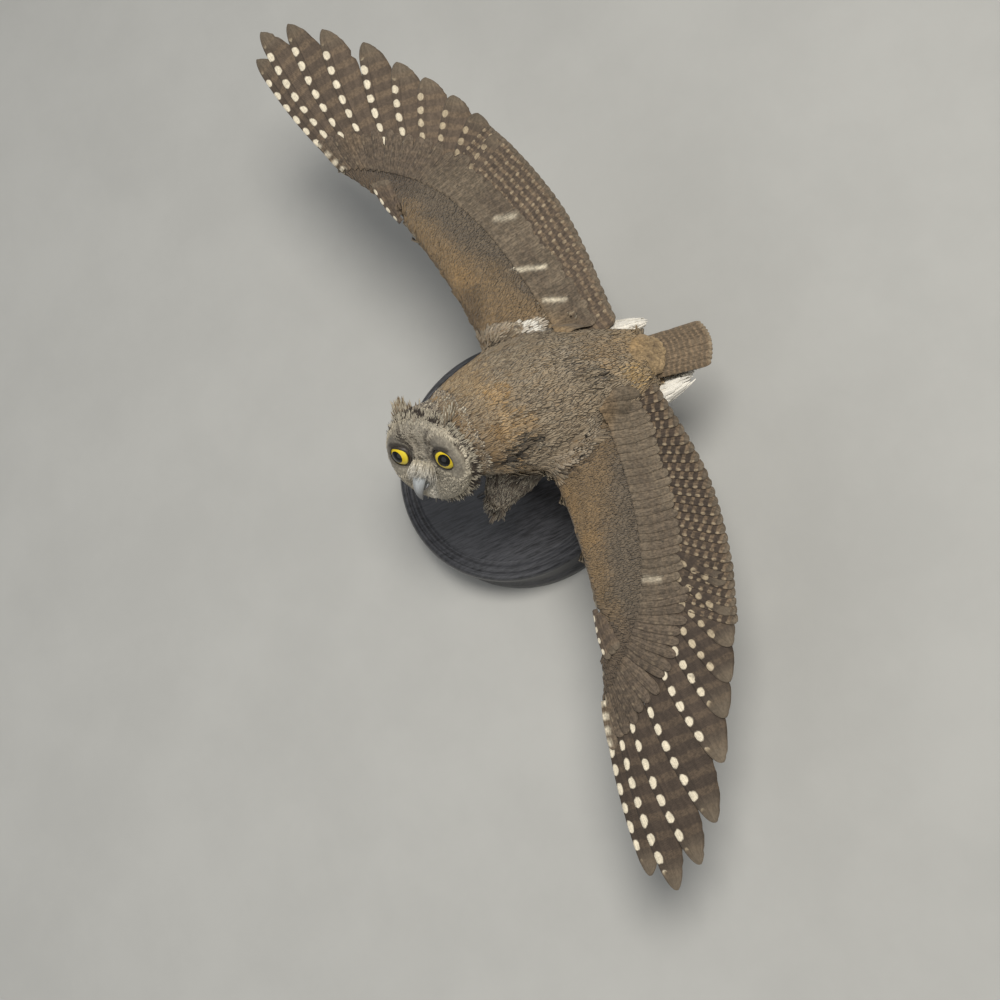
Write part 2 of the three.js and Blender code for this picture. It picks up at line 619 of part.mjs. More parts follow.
for (const [name, wing] of Object.entries(WINGS)) {
  const alulaRoom = alulaPart(wing, 2 * GAP, ALULA.room);
  for (const [part, [from, to]] of Object.entries(WING_PARTS)) {
    const shape = armPart(wing, from, to, Math.round((to - from) / 8));
    const material = part === 'upper_arm' ? TAWNY_PLUMAGE : BROWN_PLUMAGE;
    place(`wing_${name}_${part}`, cut(shape, bodyRoom, alulaRoom), material);
  }
  place(`wing_${name}_alula`, alulaPart(wing), DARK_VANE);
  place(`wing_${name}_secondaries`, cut(featherRow(wing, SECONDARIES), bodyRoom), DARK_VANE);
  place(`wing_${name}_tertials`, cut(featherRow(wing, TERTIALS), bodyRoom), DARK_VANE);
  let taken = solid(innerPlan);
  for (let number = 1; number <= PRIMARY_COUNT; number += 1) {
    const flat = largest(solid(primaryPrism(number)).subtract(taken));
    taken = taken.add(solid(primaryPrism(number, GAP)));
    place(`wing_${name}_primary_${number}`, bendAll(wing, flat), DARK_VANE);
  }
}

export default owl;
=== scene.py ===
"""A mounted scops owl with spread wings on a black turned base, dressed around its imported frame.

The body is one skin with a coat of small lobed feathers. Flight feathers, coverts, tail,
eyes, lids, bill, toes and base are pieces of their own. Shapes are worked out in millimetres
and turned to metres when a mesh is made.
"""

import logging
import math
from dataclasses import dataclass, field
from enum import Enum
from typing import Callable, Dict, List, Optional, Sequence, Tuple

import bmesh
import bpy
import numpy as np
from mathutils import Matrix, Vector
from mathutils.bvhtree import BVHTree

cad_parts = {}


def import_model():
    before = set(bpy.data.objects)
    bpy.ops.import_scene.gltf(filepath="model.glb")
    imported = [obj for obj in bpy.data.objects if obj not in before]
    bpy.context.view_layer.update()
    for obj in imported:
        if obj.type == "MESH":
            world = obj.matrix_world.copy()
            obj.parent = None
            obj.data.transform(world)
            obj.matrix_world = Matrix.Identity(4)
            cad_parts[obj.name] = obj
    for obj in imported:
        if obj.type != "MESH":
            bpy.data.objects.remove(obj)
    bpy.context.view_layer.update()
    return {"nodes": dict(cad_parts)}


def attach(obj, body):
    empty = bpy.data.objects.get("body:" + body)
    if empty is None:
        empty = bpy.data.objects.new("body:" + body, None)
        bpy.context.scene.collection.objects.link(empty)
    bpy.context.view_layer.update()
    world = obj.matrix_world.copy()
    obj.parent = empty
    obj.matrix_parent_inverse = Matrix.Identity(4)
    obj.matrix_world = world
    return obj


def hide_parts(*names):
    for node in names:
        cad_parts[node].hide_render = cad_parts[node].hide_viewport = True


LOG = logging.getLogger("owl")
MM = 0.001
BODY = "root"
SEED = 20
SIDES = {1: "left", -1: "right"}

Array = np.ndarray
Random = np.random.Generator
BMesh = bmesh.types.BMesh
Mesh = bpy.types.Mesh
Piece = bpy.types.Object
Material = bpy.types.Material
Socket = bpy.types.NodeSocket
Triple = Tuple[float, float, float]
Rgb = Tuple[int, int, int]
Stations = Sequence[Tuple[float, float]]
# A function of points, normals and regions, or of along, back and height.
Rule = Callable[[Array, Array, Array], Array]


# ------------------------------------------------------------------ small helpers


def unit(v: Array) -> Array:
    """Returns vectors scaled to length one."""
    return v / np.maximum(np.linalg.norm(v, axis=-1, keepdims=True), 1e-9)


def smooth(x: Array, low: float, high: float) -> Array:
    """Returns a smooth step from 0 at low to 1 at high."""
    t = np.clip((np.asarray(x, float) - low) / (high - low), 0, 1)
    return t * t * (3 - 2 * t)


def through(stations: Stations) -> Callable[[Array], Array]:
    """Makes a smooth function through a few (x, y) stations.

    Args:
        stations: Points in order of x.

    Returns:
        A function of an array of x.
    """
    xs = np.array([s[0] for s in stations], float)
    ys = np.array([s[1] for s in stations], float)
    last = len(xs) - 1
    slopes = np.array([
        (ys[min(i + 1, last)] - ys[max(i - 1, 0)]) / (xs[min(i + 1, last)] - xs[max(i - 1, 0)])
        for i in range(last + 1)
    ])

    def value(x: Array) -> Array:
        """Returns y at x."""
        x = np.asarray(x, float)
        i = np.clip(np.searchsorted(xs, x) - 1, 0, last - 1)
        wide = xs[i + 1] - xs[i]
        t = (x - xs[i]) / wide
        m0, m1 = slopes[i] * wide, slopes[i + 1] * wide
        t2, t3 = t * t, t * t * t
        inside = (2 * t3 - 3 * t2 + 1) * ys[i] + (t3 - 2 * t2 + t) * m0
        inside = inside + (3 * t2 - 2 * t3) * ys[i + 1] + (t3 - t2) * m1
        before, after = ys[i] + m0 * t, ys[i + 1] + m1 * (t - 1)
        return np.where(t < 0, before, np.where(t > 1, after, inside))

    return value


def mottle(points: Array, scale: float, seed: int) -> Array:
    """Soft random value between -1 and 1 that changes over about scale millimetres.

    Args:
        points: Places in millimetres, shape (n, 3).
        scale: Size of a patch.
        seed: Picks the pattern.

    Returns:
        One value for each point.
    """
    at = np.asarray(points, float) / scale + 100.0
    cell = np.floor(at).astype(np.int64)
    part = at - cell
    part = part * part * (3 - 2 * part)
    total = np.zeros(len(at))
    for dx in (0, 1):
        for dy in (0, 1):
            for dz in (0, 1):
                key = (cell[:, 0] + dx) * 73856093 ^ (cell[:, 1] + dy) * 19349663
                key = (key ^ (cell[:, 2] + dz) * 83492791) + seed * 2654435
                key = (key ^ (key >> 13)) * 1274126177 & 0x7FFFFFFF
                key = (key ^ (key >> 15)) & 0xFFFF
                weight = np.abs((1 - dx) - part[:, 0]) * np.abs((1 - dy) - part[:, 1])
                total += weight * np.abs((1 - dz) - part[:, 2]) * (key / 32767.5 - 1)
    return total


def linear(rgb: Rgb) -> Array:
    """Returns a display colour of 0 to 255 as linear light."""
    c = np.array(rgb, float) / 255
    return np.where(c <= 0.04045, c / 12.92, ((c + 0.055) / 1.055) ** 2.4)


class Tint(Enum):
    """The colours of the plumage and bare parts, as displayed; two are painted shade."""

    BACK = (144, 127, 103)
    NECK = (158, 134, 100)
    OCHRE = (172, 134, 78)
    RUMP = (150, 128, 96)
    TAWNY = (136, 114, 84)
    COVERT = (109, 97, 81)
    DARK = (88, 76, 64)
    STREAK = (60, 51, 43)
    # SHADED_VANE: a darker copy of VANE for the left wing's flight feathers, painted shade.
    SHADED_VANE = (70, 59, 49)
    VANE = (92, 79, 66)
    TAIL = (112, 97, 78)
    BAR = (134, 114, 90)
    PALE = (232, 220, 194)
    BUFF = (180, 163, 134)
    GOLD = (196, 158, 92)
    # Painted shade for the plumage's grooves and for the gap between head and body.
    CREASE_SHADE = (26, 22, 19)
    WHITE = (243, 237, 224)
    CREAM = (230, 212, 172)
    CROWN = (172, 158, 138)
    DISC = (172, 163, 146)
    BELLY = (140, 126, 104)
    LEG = (196, 178, 146)

    @property
    def light(self) -> Array:
        """The colour in linear light."""
        return linear(self.value)


# ------------------------------------------------------------------ finishes


class Nodes:
    """A short way to write a material's nodes."""

    def __init__(self, name: str) -> None:
        """Starts a material with one Principled shader."""
        self.material = bpy.data.materials.new(name)
        self.material.use_nodes = True
        self.tree = self.material.node_tree
        self.shader = self.tree.nodes["Principled BSDF"]

    def add(self, kind: str, **values: object) -> bpy.types.Node:
        """Adds a node and sets its properties."""
        node = self.tree.nodes.new(kind)
        for key, value in values.items():
            setattr(node, key, value)
        return node

    def link(self, source: Socket, target: Socket) -> None:
        """Links two sockets."""
        self.tree.links.new(source, target)

    def math(self, operation: str, a: object, b: object = 0.0, c: object = 0.0,
             clamp: bool = False) -> Socket:
        """Adds a Math node.

        Args:
            operation: The Math node's operation.
            a: First number or socket.
            b: Second number or socket.
            c: Third number or socket.
            clamp: Whether the result is kept in 0 to 1.

        Returns:
            The result's socket.
        """
        node = self.add("ShaderNodeMath", operation=operation, use_clamp=clamp)
        for socket, value in zip(node.inputs, (a, b, c)):
            if isinstance(value, Socket):
                self.link(value, socket)
            else:
                socket.default_value = value
        return node.outputs[0]

    def times(self, a: object, b: object, clamp: bool = False) -> Socket:
        """Multiplies two numbers or sockets."""
        return self.math("MULTIPLY", a, b, clamp=clamp)

    def blend(self, a: object, b: object, c: object) -> Socket:
        """Multiplies a by b and adds c."""
        return self.math("MULTIPLY_ADD", a, b, c)

    def attribute(self, name: str, output: str) -> Socket:
        """Adds an attribute and returns one of its outputs."""
        return self.add("ShaderNodeAttribute", attribute_name=name).outputs[output]

    def parts(self, source: Socket, kind: str) -> Sequence[Socket]:
        """Takes a vector or colour apart into its three numbers."""
        node = self.add(kind)
        self.link(source, node.inputs[0])
        return node.outputs

    def shade(self, colour: object, level: Socket) -> Socket:
        """Multiplies a colour by a level."""
        grey = self.add("ShaderNodeCombineColor")
        for socket in grey.inputs[:3]:
            self.link(level, socket)
        return self.mix(1.0, colour, grey.outputs[0], "MULTIPLY")

    def paint(self, colour: Socket) -> None:
        """Links the shader's colour."""
        self.link(colour, self.shader.inputs["Base Color"])

    def step(self, value: Socket, low: float, high: float,
             to_low: float = 0.0, to_high: float = 1.0) -> Socket:
        """Adds a smooth step of a value between two limits."""
        node = self.add("ShaderNodeMapRange", interpolation_type="SMOOTHSTEP")
        self.link(value, node.inputs["Value"])
        for name, number in (("From Min", low), ("From Max", high), ("To Min", to_low),
                             ("To Max", to_high)):
            node.inputs[name].default_value = number
        return node.outputs["Result"]

    def mix(self, factor: object, a: object, b: object, blend: str = "MIX") -> Socket:
        """Adds a colour mix.

        Args:
            factor: Share of b, a number or socket.
            a: First colour or socket.
            b: Second colour or socket.
            blend: How they are mixed.

        Returns:
            The result's socket.
        """
        node = self.add("ShaderNodeMix", data_type="RGBA", blend_type=blend)
        for socket, value in ((node.inputs[0], factor), (node.inputs[6], a), (node.inputs[7], b)):
            if isinstance(value, Socket):
                self.link(value, socket)
            elif isinstance(value, (int, float)):
                socket.default_value = value
            else:
                socket.default_value = (*[float(x) for x in value], 1.0)
        return node.outputs[2]

    def noise(self, scale: float, detail: float = 2.0, stretch: Optional[Triple] = None,
              roughness: float = 0.5) -> Socket:
        """Adds a noise on Object coordinates and returns its value.

        Args:
            scale: Patches for each metre.
            detail: Octaves.
            stretch: Scale along each axis.
            roughness: How strong the fine octaves are.

        Returns:
            The noise value's socket.
        """
        coords = self.add("ShaderNodeTexCoord").outputs["Object"]
        if stretch is not None:
            mapping = self.add("ShaderNodeMapping")
            mapping.inputs["Scale"].default_value = stretch
            self.link(coords, mapping.inputs["Vector"])
            coords = mapping.outputs["Vector"]
        node = self.add("ShaderNodeTexNoise")
        self.link(coords, node.inputs["Vector"])
        node.inputs["Scale"].default_value = scale
        node.inputs["Detail"].default_value = detail
        node.inputs["Roughness"].default_value = roughness
        return node.outputs["Fac"]

    def bump(self, height: Socket, strength: float, distance: float) -> None:
        """Adds a bump to the shader's normal."""
        node = self.add("ShaderNodeBump")
        node.inputs["Strength"].default_value = strength
        node.inputs["Distance"].default_value = distance
        self.link(height, node.inputs["Height"])
        self.link(node.outputs["Normal"], self.shader.inputs["Normal"])

    def set(self, **values: object) -> None:
        """Sets numbers and colours on the shader's own sockets."""
        for key, value in values.items():
            self.shader.inputs[key.replace("_", " ")].default_value = value


@dataclass(frozen=True)
class PlumageFinish:
    """Feathers: colour from the plumage attribute, with bars, spots, shafts and fine waves."""

    name: str = "owl_plumage"
    roughness: float = 0.72
    sheen: float = 0.12
    wave_scale: float = 780.0

    def make(self) -> Material:
        """Builds the material."""
        n = Nodes(self.name)
        base = n.attribute("plumage", "Color")
        across, along, own = n.parts(n.attribute("vane", "Vector"), "ShaderNodeSeparateXYZ")
        spot, bar, speckle = n.parts(n.attribute("marks", "Color"), "ShaderNodeSeparateColor")
        fine = n.noise(self.wave_scale, 3.0, roughness=0.6)
        broad = n.noise(230.0, 2.0)
        lines = n.add("ShaderNodeCombineXYZ")
        n.link(n.blend(across, 7.0, n.times(own, 61.0)), lines.inputs[0])
        n.link(n.times(along, 1.1), lines.inputs[1])
        n.link(n.times(own, 23.0), lines.inputs[2])
        streaks = n.add("ShaderNodeTexNoise")
        n.link(lines.outputs[0], streaks.inputs["Vector"])
        streaks.inputs["Scale"].default_value = 1.0
        streaks.inputs["Detail"].default_value = 3.0
        wobble = n.blend(broad, 0.34, n.blend(own, 0.22, -0.28))
        turn = n.math("FRACT", n.math("ADD", along, wobble))
        peak = n.math("ABSOLUTE", n.math("SUBTRACT", turn, 0.5))
        barred = n.step(peak, 0.14, 0.28, 1.0, 0.0)
        barred = n.times(n.times(barred, bar), n.step(fine, 0.30, 0.60, 0.45, 1.0))
        colour = n.mix(barred, base, Tint.BAR.light)
        off = n.math("DIVIDE", n.math("ADD", across, 0.60), n.blend(spot, 0.26, 0.26))
        far = n.math("DIVIDE", peak, 0.30)
        oval = n.math("SQRT", n.blend(off, off, n.times(far, far)))
        oval = n.blend(n.math("SUBTRACT", fine, 0.5), 0.5, oval)
        spotted = n.times(n.step(oval, 0.80, 1.12, 1.0, 0.0), n.times(spot, 1.8, clamp=True))
        spotted = n.times(spotted, n.step(n.blend(spot, 0.5, broad), 0.42, 0.75))
        pale = n.mix(n.step(spot, 0.45, 0.95), Tint.BUFF.light, Tint.PALE.light)
        colour = n.mix(spotted, colour, pale)
        shaft = n.step(n.math("ABSOLUTE", across), 0.02, 0.07, 0.5, 0.0)
        colour = n.mix(n.times(shaft, n.math("MAXIMUM", spot, bar)), colour, Tint.STREAK.light)
        dark = n.step(n.blend(fine, 0.5, n.times(streaks.outputs["Fac"], 0.5)),
                      0.38, 0.62, -1.0, 1.0)
        level = n.blend(n.times(dark, speckle), 0.36, 1.0)
        n.paint(n.shade(colour, level))
        barb = n.math("SINE", n.blend(along, 60.0,
                                     n.times(n.math("ABSOLUTE", across), -22.0)))
        n.bump(n.blend(barb, 0.25, n.math("ADD", fine, streaks.outputs["Fac"])), 0.35, 0.0004)
        n.set(Roughness=self.roughness, Sheen_Weight=self.sheen, Sheen_Roughness=0.5)
        n.set(Specular_IOR_Level=0.3)
        return n.material


@dataclass(frozen=True)
class BlackWood:
    """Black stained turned wood under a wax polish, its grain along one way of the flat top."""

    name: str = "black_turned_wood"
    dark: Triple = (0.010, 0.010, 0.011)
    pale: Triple = (0.058, 0.058, 0.064)

    def make(self) -> Material:
        """Builds the material."""
        n = Nodes(self.name)
        grain = n.noise(60.0, 6.0, (12.0, 1.1, 6.0), 0.65)
        pores = n.noise(260.0, 3.0, (9.0, 0.7, 4.0), 0.6)
        both = n.blend(pores, 0.55, n.times(grain, 0.6))
        colour = n.mix(n.step(both, 0.40, 0.72), self.dark, self.pale)
        n.paint(colour)
        n.link(n.step(both, 0.35, 0.8, 0.30, 0.46), n.shader.inputs["Roughness"])
        n.bump(both, 0.22, 0.0004)
        n.set(Coat_Weight=0.35, Coat_Roughness=0.16, Specular_IOR_Level=0.5)
        return n.material


@dataclass(frozen=True)
class EyeFinish:
    """A domed eye: black pupil, yellow iris with fine rays and a dark edge, under a clear gloss."""

    name: str = "eye_yellow"
    inner: Rgb = (232, 200, 34)
    outer: Rgb = (240, 218, 70)
    ring: Rgb = (96, 66, 14)
    pupil: Triple = (0.003, 0.003, 0.003)
    dark: Triple = (0.010, 0.008, 0.006)

    def make(self) -> Material:
        """Builds the material, which reads the polar angle in degrees from the attribute iris."""
        n = Nodes(self.name)
        polar, rays, _ = n.parts(n.attribute("iris", "Vector"), "ShaderNodeSeparateXYZ")
        edge = n.blend(n.noise(1500.0, 2.0), 2.2, n.math("ADD", polar, -1.1))
        yellow = n.mix(n.step(edge, 31.0, 48.0), linear(self.inner), linear(self.outer))
        streaks = n.step(n.math("SINE", n.times(rays, 61.0)), -1.0, 1.0, 0.80, 1.06)
        yellow = n.shade(yellow, streaks)
        yellow = n.mix(n.step(edge, 49.5, 55.0), yellow, linear(self.ring))
        colour = n.mix(n.step(edge, 28.4, 29.6), self.pupil, yellow)
        colour = n.mix(n.step(edge, 55.0, 56.5), colour, self.dark)
        n.paint(colour)
        n.set(Roughness=0.4, Specular_IOR_Level=0.1, Coat_Weight=1.0, Coat_Roughness=0.03,
              Coat_IOR=1.38)
        return n.material


@dataclass(frozen=True)
class SkinFinish:
    """Bare skin or horn: two colours mixed by a fine noise, with a bump."""

    name: str
    low: Rgb
    high: Rgb
    scale: float
    roughness: float
    bump: float = 0.3

    def make(self) -> Material:
        """Builds the material."""
        n = Nodes(self.name)
        broken = n.noise(self.scale, 4.0, roughness=0.6)
        n.paint(n.mix(n.step(broken, 0.34, 0.66), linear(self.low), linear(self.high)))
        n.bump(broken, self.bump, 0.0003)
        n.set(Roughness=self.roughness, Coat_Weight=0.15, Coat_Roughness=0.3)
        return n.material


@dataclass(frozen=True)
class BillFinish:
    """Horn that runs from blue-grey at the root to dark at the tip, by the attribute growth."""

    name: str = "bill_horn_skin"
    root: Rgb = (170, 160, 146)
    horn: Rgb = (176, 180, 180)
    tip: Rgb = (104, 102, 100)

    def make(self) -> Material:
        """Builds the material."""
        n = Nodes(self.name)
        growth = n.attribute("growth", "Fac")
        streak = n.noise(420.0, 4.0, (3.0, 3.0, 1.0), 0.6)
        at = n.blend(streak, 0.22, n.math("ADD", growth, -0.11))
        colour = n.mix(n.step(at, 0.45, 0.98), linear(self.horn), linear(self.tip))
        colour = n.mix(n.step(at, 0.0, 0.30, 0.55, 0.0), colour, linear(self.root))
        n.paint(colour)
        n.bump(streak, 0.2, 0.0002)
        n.set(Roughness=0.34, Coat_Weight=0.4, Coat_Roughness=0.12)
        return n.material


@dataclass(frozen=True)
class FloorFinish:
    """A plain pale grey floor."""

    name: str = "pale_floor"
    grey: Triple = (0.50, 0.495, 0.465)

    def make(self) -> Material:
        """Builds the material."""
        n = Nodes(self.name)
        soft = n.noise(9.0, 5.0, roughness=0.65)
        shade = [c * 0.93 for c in self.grey]
        n.paint(n.mix(n.step(soft, 0.3, 0.7), shade, self.grey))
        n.set(Roughness=0.85)
        return n.material


# ------------------------------------------------------------------ meshes


@dataclass
class Shape:
    """Vertices in millimetres with quads, triangles and one value for each vertex of each mark."""

    points: Array
    quads: Array
    tris: Array
    colour: Array
    vane: Array
    marks: Array
    root: Array

    @staticmethod
    def joined(shapes: Sequence["Shape"]) -> "Shape":
        """Returns several shapes as one."""
        starts = np.cumsum([0] + [len(s.points) for s in shapes[:-1]])
        return Shape(
            np.concatenate([s.points for s in shapes]),
            np.concatenate([s.quads + k for s, k in zip(shapes, starts)]),
            np.concatenate([s.tris + k for s, k in zip(shapes, starts)]),
            np.concatenate([s.colour for s in shapes]),
            np.concatenate([s.vane for s in shapes]),
            np.concatenate([s.marks for s in shapes]),
            np.concatenate([s.root for s in shapes]),
        )


def colour_layer(mesh: Mesh, name: str, values: Array) -> None:
    """Writes a colour for each vertex."""
    layer = mesh.attributes.new(name, "FLOAT_COLOR", "POINT")
    four = np.concatenate([values, np.ones((len(values), 1))], axis=1)
    layer.data.foreach_set("color", four.astype(np.float32).ravel())


def vector_layer(mesh: Mesh, name: str, values: Array) -> None:
    """Writes a vector for each vertex."""
    layer = mesh.attributes.new(name, "FLOAT_VECTOR", "POINT")
    layer.data.foreach_set("vector", values.astype(np.float32).ravel())


def piece_from_mesh(name: str, mesh: Mesh, finish: Material, slot: str,
                    *nodes: str) -> Piece:
    """Makes a piece that rides on the body.

    Args:
        name: The piece's name.
        mesh: Its mesh, in metres and in place.
        finish: Its material.
        slot: The record's slot; not used.
        nodes: CAD nodes that it stands for.

    Returns:
        The new object.
    """
    piece = bpy.data.objects.new(name, mesh)
    bpy.context.scene.collection.objects.link(piece)
    mesh.materials.append(finish)
    mesh.polygons.foreach_set("use_smooth", np.ones(len(mesh.polygons), bool))
    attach(piece, BODY)
    if nodes:
        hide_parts(*nodes)
    LOG.info("%s: %d faces", name, len(mesh.polygons))
    return piece


def piece_from_shape(name: str, shape: Shape, finish: Material, slot: str,
                     *nodes: str) -> Piece:
    """Turns a shape into a piece with its marks and its OFBake map.

    Args:
        name: The piece's name.
        shape: Its arrays.
        finish: Its material.
        slot: The record's slot.
        nodes: CAD nodes that it stands for.

    Returns:
        The new object.
    """
    mesh = bpy.data.meshes.new(name)
    mesh.vertices.add(len(shape.points))
    mesh.vertices.foreach_set("co", (shape.points * MM).astype(np.float32).ravel())
    corners = np.concatenate([shape.quads.ravel(), shape.tris.ravel()]).astype(np.int32)
    first_tri = len(shape.quads) * 4
    starts = np.concatenate([np.arange(len(shape.quads)) * 4,
                             first_tri + np.arange(len(shape.tris)) * 3]).astype(np.int32)
    mesh.loops.add(len(corners))
    mesh.loops.foreach_set("vertex_index", corners)
    mesh.polygons.add(len(starts))
    mesh.polygons.foreach_set("loop_start", starts)
    mesh.update(calc_edges=True)
    colour_layer(mesh, "plumage", shape.colour)
    vector_layer(mesh, "vane", shape.vane)
    colour_layer(mesh, "marks", shape.marks)
    layer = mesh.uv_layers.new(name="OFBake")
    layer.data.foreach_set("uv", shape.root[corners].astype(np.float32).ravel())
    return piece_from_mesh(name, mesh, finish, slot, *nodes)


def mesh_of(bm: BMesh, name: str, outward: bool = True) -> Mesh:
    """Turns a bmesh, in metres and in place, into a mesh and frees it.

    Args:
        bm: The bmesh.
        name: The mesh's name.
        outward: Whether its faces are turned outwards first.

    Returns:
        The mesh.
    """
    if outward:
        bmesh.ops.recalc_face_normals(bm, faces=bm.faces)
    mesh = bpy.data.meshes.new(name)
    bm.to_mesh(mesh)
    bm.free()
    return mesh


def bm_piece(name: str, bm: BMesh, finish: Material, slot: str,
             *nodes: str) -> Piece:
    """Turns a bmesh, in metres and in place, into a piece."""
    return piece_from_mesh(name, mesh_of(bm, name), finish, slot, *nodes)


def loft(bm: BMesh, rings: Sequence[Matrix], sides: int = 12) -> List[bmesh.types.BMVert]:
    """Draws a closed tube through circles, each placed and scaled by its matrix.

    Args:
        bm: The bmesh that it is added to.
        rings: A matrix for each ring, in metres; the circle has radius 1 in its XY plane.
        sides: Vertices of a ring.

    Returns:
        All its vertices, ring by ring, with the two ends closed by fans.
    """
    first = bmesh.ops.create_circle(bm, cap_ends=False, segments=sides, radius=1.0,
                                    matrix=rings[0])["verts"]
    made = list(first)
    edges = list(dict.fromkeys(e for v in first for e in v.link_edges))
    ends = [edges]
    for before, after in zip(rings, rings[1:]):
        out = bmesh.ops.extrude_edge_only(bm, edges=edges)["geom"]
        verts = [g for g in out if isinstance(g, bmesh.types.BMVert)]
        edges = [g for g in out if isinstance(g, bmesh.types.BMEdge)
                 and all(v in verts for v in g.verts)]
        bmesh.ops.transform(bm, matrix=after @ before.inverted(), verts=verts)
        made += verts
    ends.append(edges)
    for rim in ends:
        cap = bmesh.ops.edgeloop_fill(bm, edges=rim)["faces"]
        made += bmesh.ops.poke(bm, faces=cap)["verts"]
    return made


def placed(columns: Sequence[Array], place: Sequence[float]) -> Matrix:
    """Returns the matrix of three axes and a place."""
    matrix = Matrix(np.column_stack(columns).tolist()).to_4x4()
    matrix.translation = Vector([float(c) for c in place])
    return matrix


def ring_at(place: Array, along: Array, up: Array, wide: float, tall: float) -> Matrix:
    """Returns a matrix that puts a unit circle square to along, in metres."""
    z = unit(np.asarray(along, float))
    x = unit(np.cross(up, z))
    y = np.cross(z, x)
    return placed([x * wide * MM, y * tall * MM, z * MM], np.asarray(place, float) * MM)


def run_lengths(points: Sequence[Sequence[float]]) -> Array:
    """Returns how far each point lies along the line of straight parts through them."""
    steps = np.diff(np.asarray(points, float), axis=0)
    return np.concatenate([[0], np.cumsum(np.linalg.norm(steps, axis=1))])


def spline(points: Sequence[Sequence[float]], count: int) -> Array:
    """Returns count points on a smooth line through a few points."""
    pts = np.asarray(points, float)
    steps = run_lengths(pts)
    at = np.linspace(0, steps[-1], count)
    return np.column_stack([through(list(zip(steps, pts[:, k])))(at) for k in range(3)])


# ------------------------------------------------------------------ folds and patches


def line_distance(p: Array, path: Sequence[Sequence[float]]) -> Array:
    """Returns how far places are from a line of straight parts."""
    path = np.asarray(path, float)
    best = np.full(len(p), 1e9)
    for a, b in zip(path[:-1], path[1:]):
        way = b - a
        t = np.clip((p - a) @ way / max(float(way @ way), 1e-9), 0, 1)
        best = np.minimum(best, np.linalg.norm(p - a - t[:, None] * way, axis=1))
    return best


@dataclass(frozen=True)
class Feature:
    """A fold, groove or patch of the plumage along a line: its width, colour and height; a groove's
    dark colour is painted shade.
    """

    path: Tuple[Triple, ...]
    width: float
    tint: Tint
    share: float
    lift: float = 0.0

    def near(self, p: Array) -> Array:
        """Returns 1 on the line, falling off over the width."""
        return np.exp(-(line_distance(p, self.path) / self.width) ** 2)


# Folds and grooves of the plumage. The CREASE_SHADE lines along the sunken grooves, the deep one
# between head and body among them, are painted shade.
FEATURES = (
    Feature(((42.2, 34.0, 98.5), (47.8, 45.2, 112.2), (49.0, 53.7, 114.4), (46.7, 60.5, 115.0),
             (41.6, 66.1, 113.7), (37.7, 69.7, 114.6)), 2.4, Tint.CROWN, 0.4, 1.7),
    Feature(((47.0, 36.0, 100.0), (50.9, 41.0, 109.8), (52.9, 50.0, 114.1), (52.5, 58.4, 114.7),
             (49.4, 64.0, 114.3), (44.5, 69.0, 113.1)), 1.6, Tint.CREASE_SHADE, 0.8, -1.1),
    Feature(((-34.5, 26.0, 111.0), (-33.5, 30.3, 115.9), (-32.0, 38.7, 121.4), (-29.7, 48.4, 122.1),
             (-25.9, 58.0, 120.3)), 1.7, Tint.CROWN, 0.55, 1.3),
    Feature(((-25.9, 58.0, 120.3), (-24.4, 61.7, 118.9), (-22.1, 64.9, 118.8)), 2.2, Tint.WHITE,
            1.0, 0.6),
    Feature(((-22.9, 65.8, 117.1), (-22.3, 68.7, 116.1), (-22.0, 71.5, 114.6)), 1.7, Tint.CREASE_SHADE, 0.9,
            -1.5),
    Feature(((-6.3, 74.2, 127.2), (-0.1, 74.3, 129.1), (5.0, 74.7, 129.5)), 1.6, Tint.CROWN, 0.6,
            0.5),
    Feature(((7.1, 74.0, 129.9), (9.1, 76.3, 128.7), (9.9, 78.8, 127.2)), 1.5, Tint.CREASE_SHADE, 0.75,
            -1.2),
    Feature(((17.7, 80.6, 124.7), (17.9, 85.2, 121.7), (23.1, 87.1, 118.4), (26.5, 87.6, 111.0),
             (32.8, 88.3, 109.7), (37.2, 84.9, 106.6)), 1.5, Tint.CREASE_SHADE, 0.75, -1.5),
    Feature(((21.1, 96.2, 112.6), (21.4, 99.3, 110.2), (21.7, 102.5, 108.0)), 3.2, Tint.GOLD, 0.55),
    Feature(((5.1, 32.6, 138.5), (8.6, 37.1, 138.5)), 4.5, Tint.OCHRE, 0.6),
    Feature(((24.3, 26.9, 133.9), (26.0, 34.2, 133.4), (27.2, 40.4, 132.7)), 5.5, Tint.OCHRE, 0.6),
    Feature(((4.3, 88.4, 120.7), (3.2, 95.6, 115.3), (1.9, 102.0, 110.5)), 8.0, Tint.OCHRE, 0.25),
    Feature(((37.0, 16.7, 115.5), (38.4, 23.5, 119.0), (38.5, 30.5, 121.8), (37.7, 37.0, 124.3),
             (36.4, 40.8, 125.4)),
            3.2, Tint.CREASE_SHADE, 0.95, -3.2),
    # A darker patch along the right wing's front edge: painted shade.
    Feature(((-44.3, 28.4, 116.4), (-46.8, 34.6, 122.9), (-53.1, 35.4, 124.8)), 6.5, Tint.STREAK,
            0.45),
)
# The flank plumes' axes and radii.
PLUMES = {"left": ((29.5, 88.0, 90.0), (29.0, 121.5, 91.0), 5.4),
          "right": ((-15.5, 84.0, 93.5), (-8.0, 112.5, 99.0), 5.0)}
# Pale lines on the wings' coverts: along, back, along, back, width, share.
WING_LINES = {
    "right": ((54.0, 35.0, 50.0, 43.0, 1.6, 0.6), (24.7, 26.6, 18.6, 38.6, 1.2, 0.9),
              (3.6, 28.0, -1.4, 35.8, 1.1, 0.8)),
    "left": ((80.4, 23.5, 82.3, 30.0, 1.6, 0.4), (71.2, 56.2, 78.7, 58.4, 1.8, 0.8)),
}


# ------------------------------------------------------------------ the skin


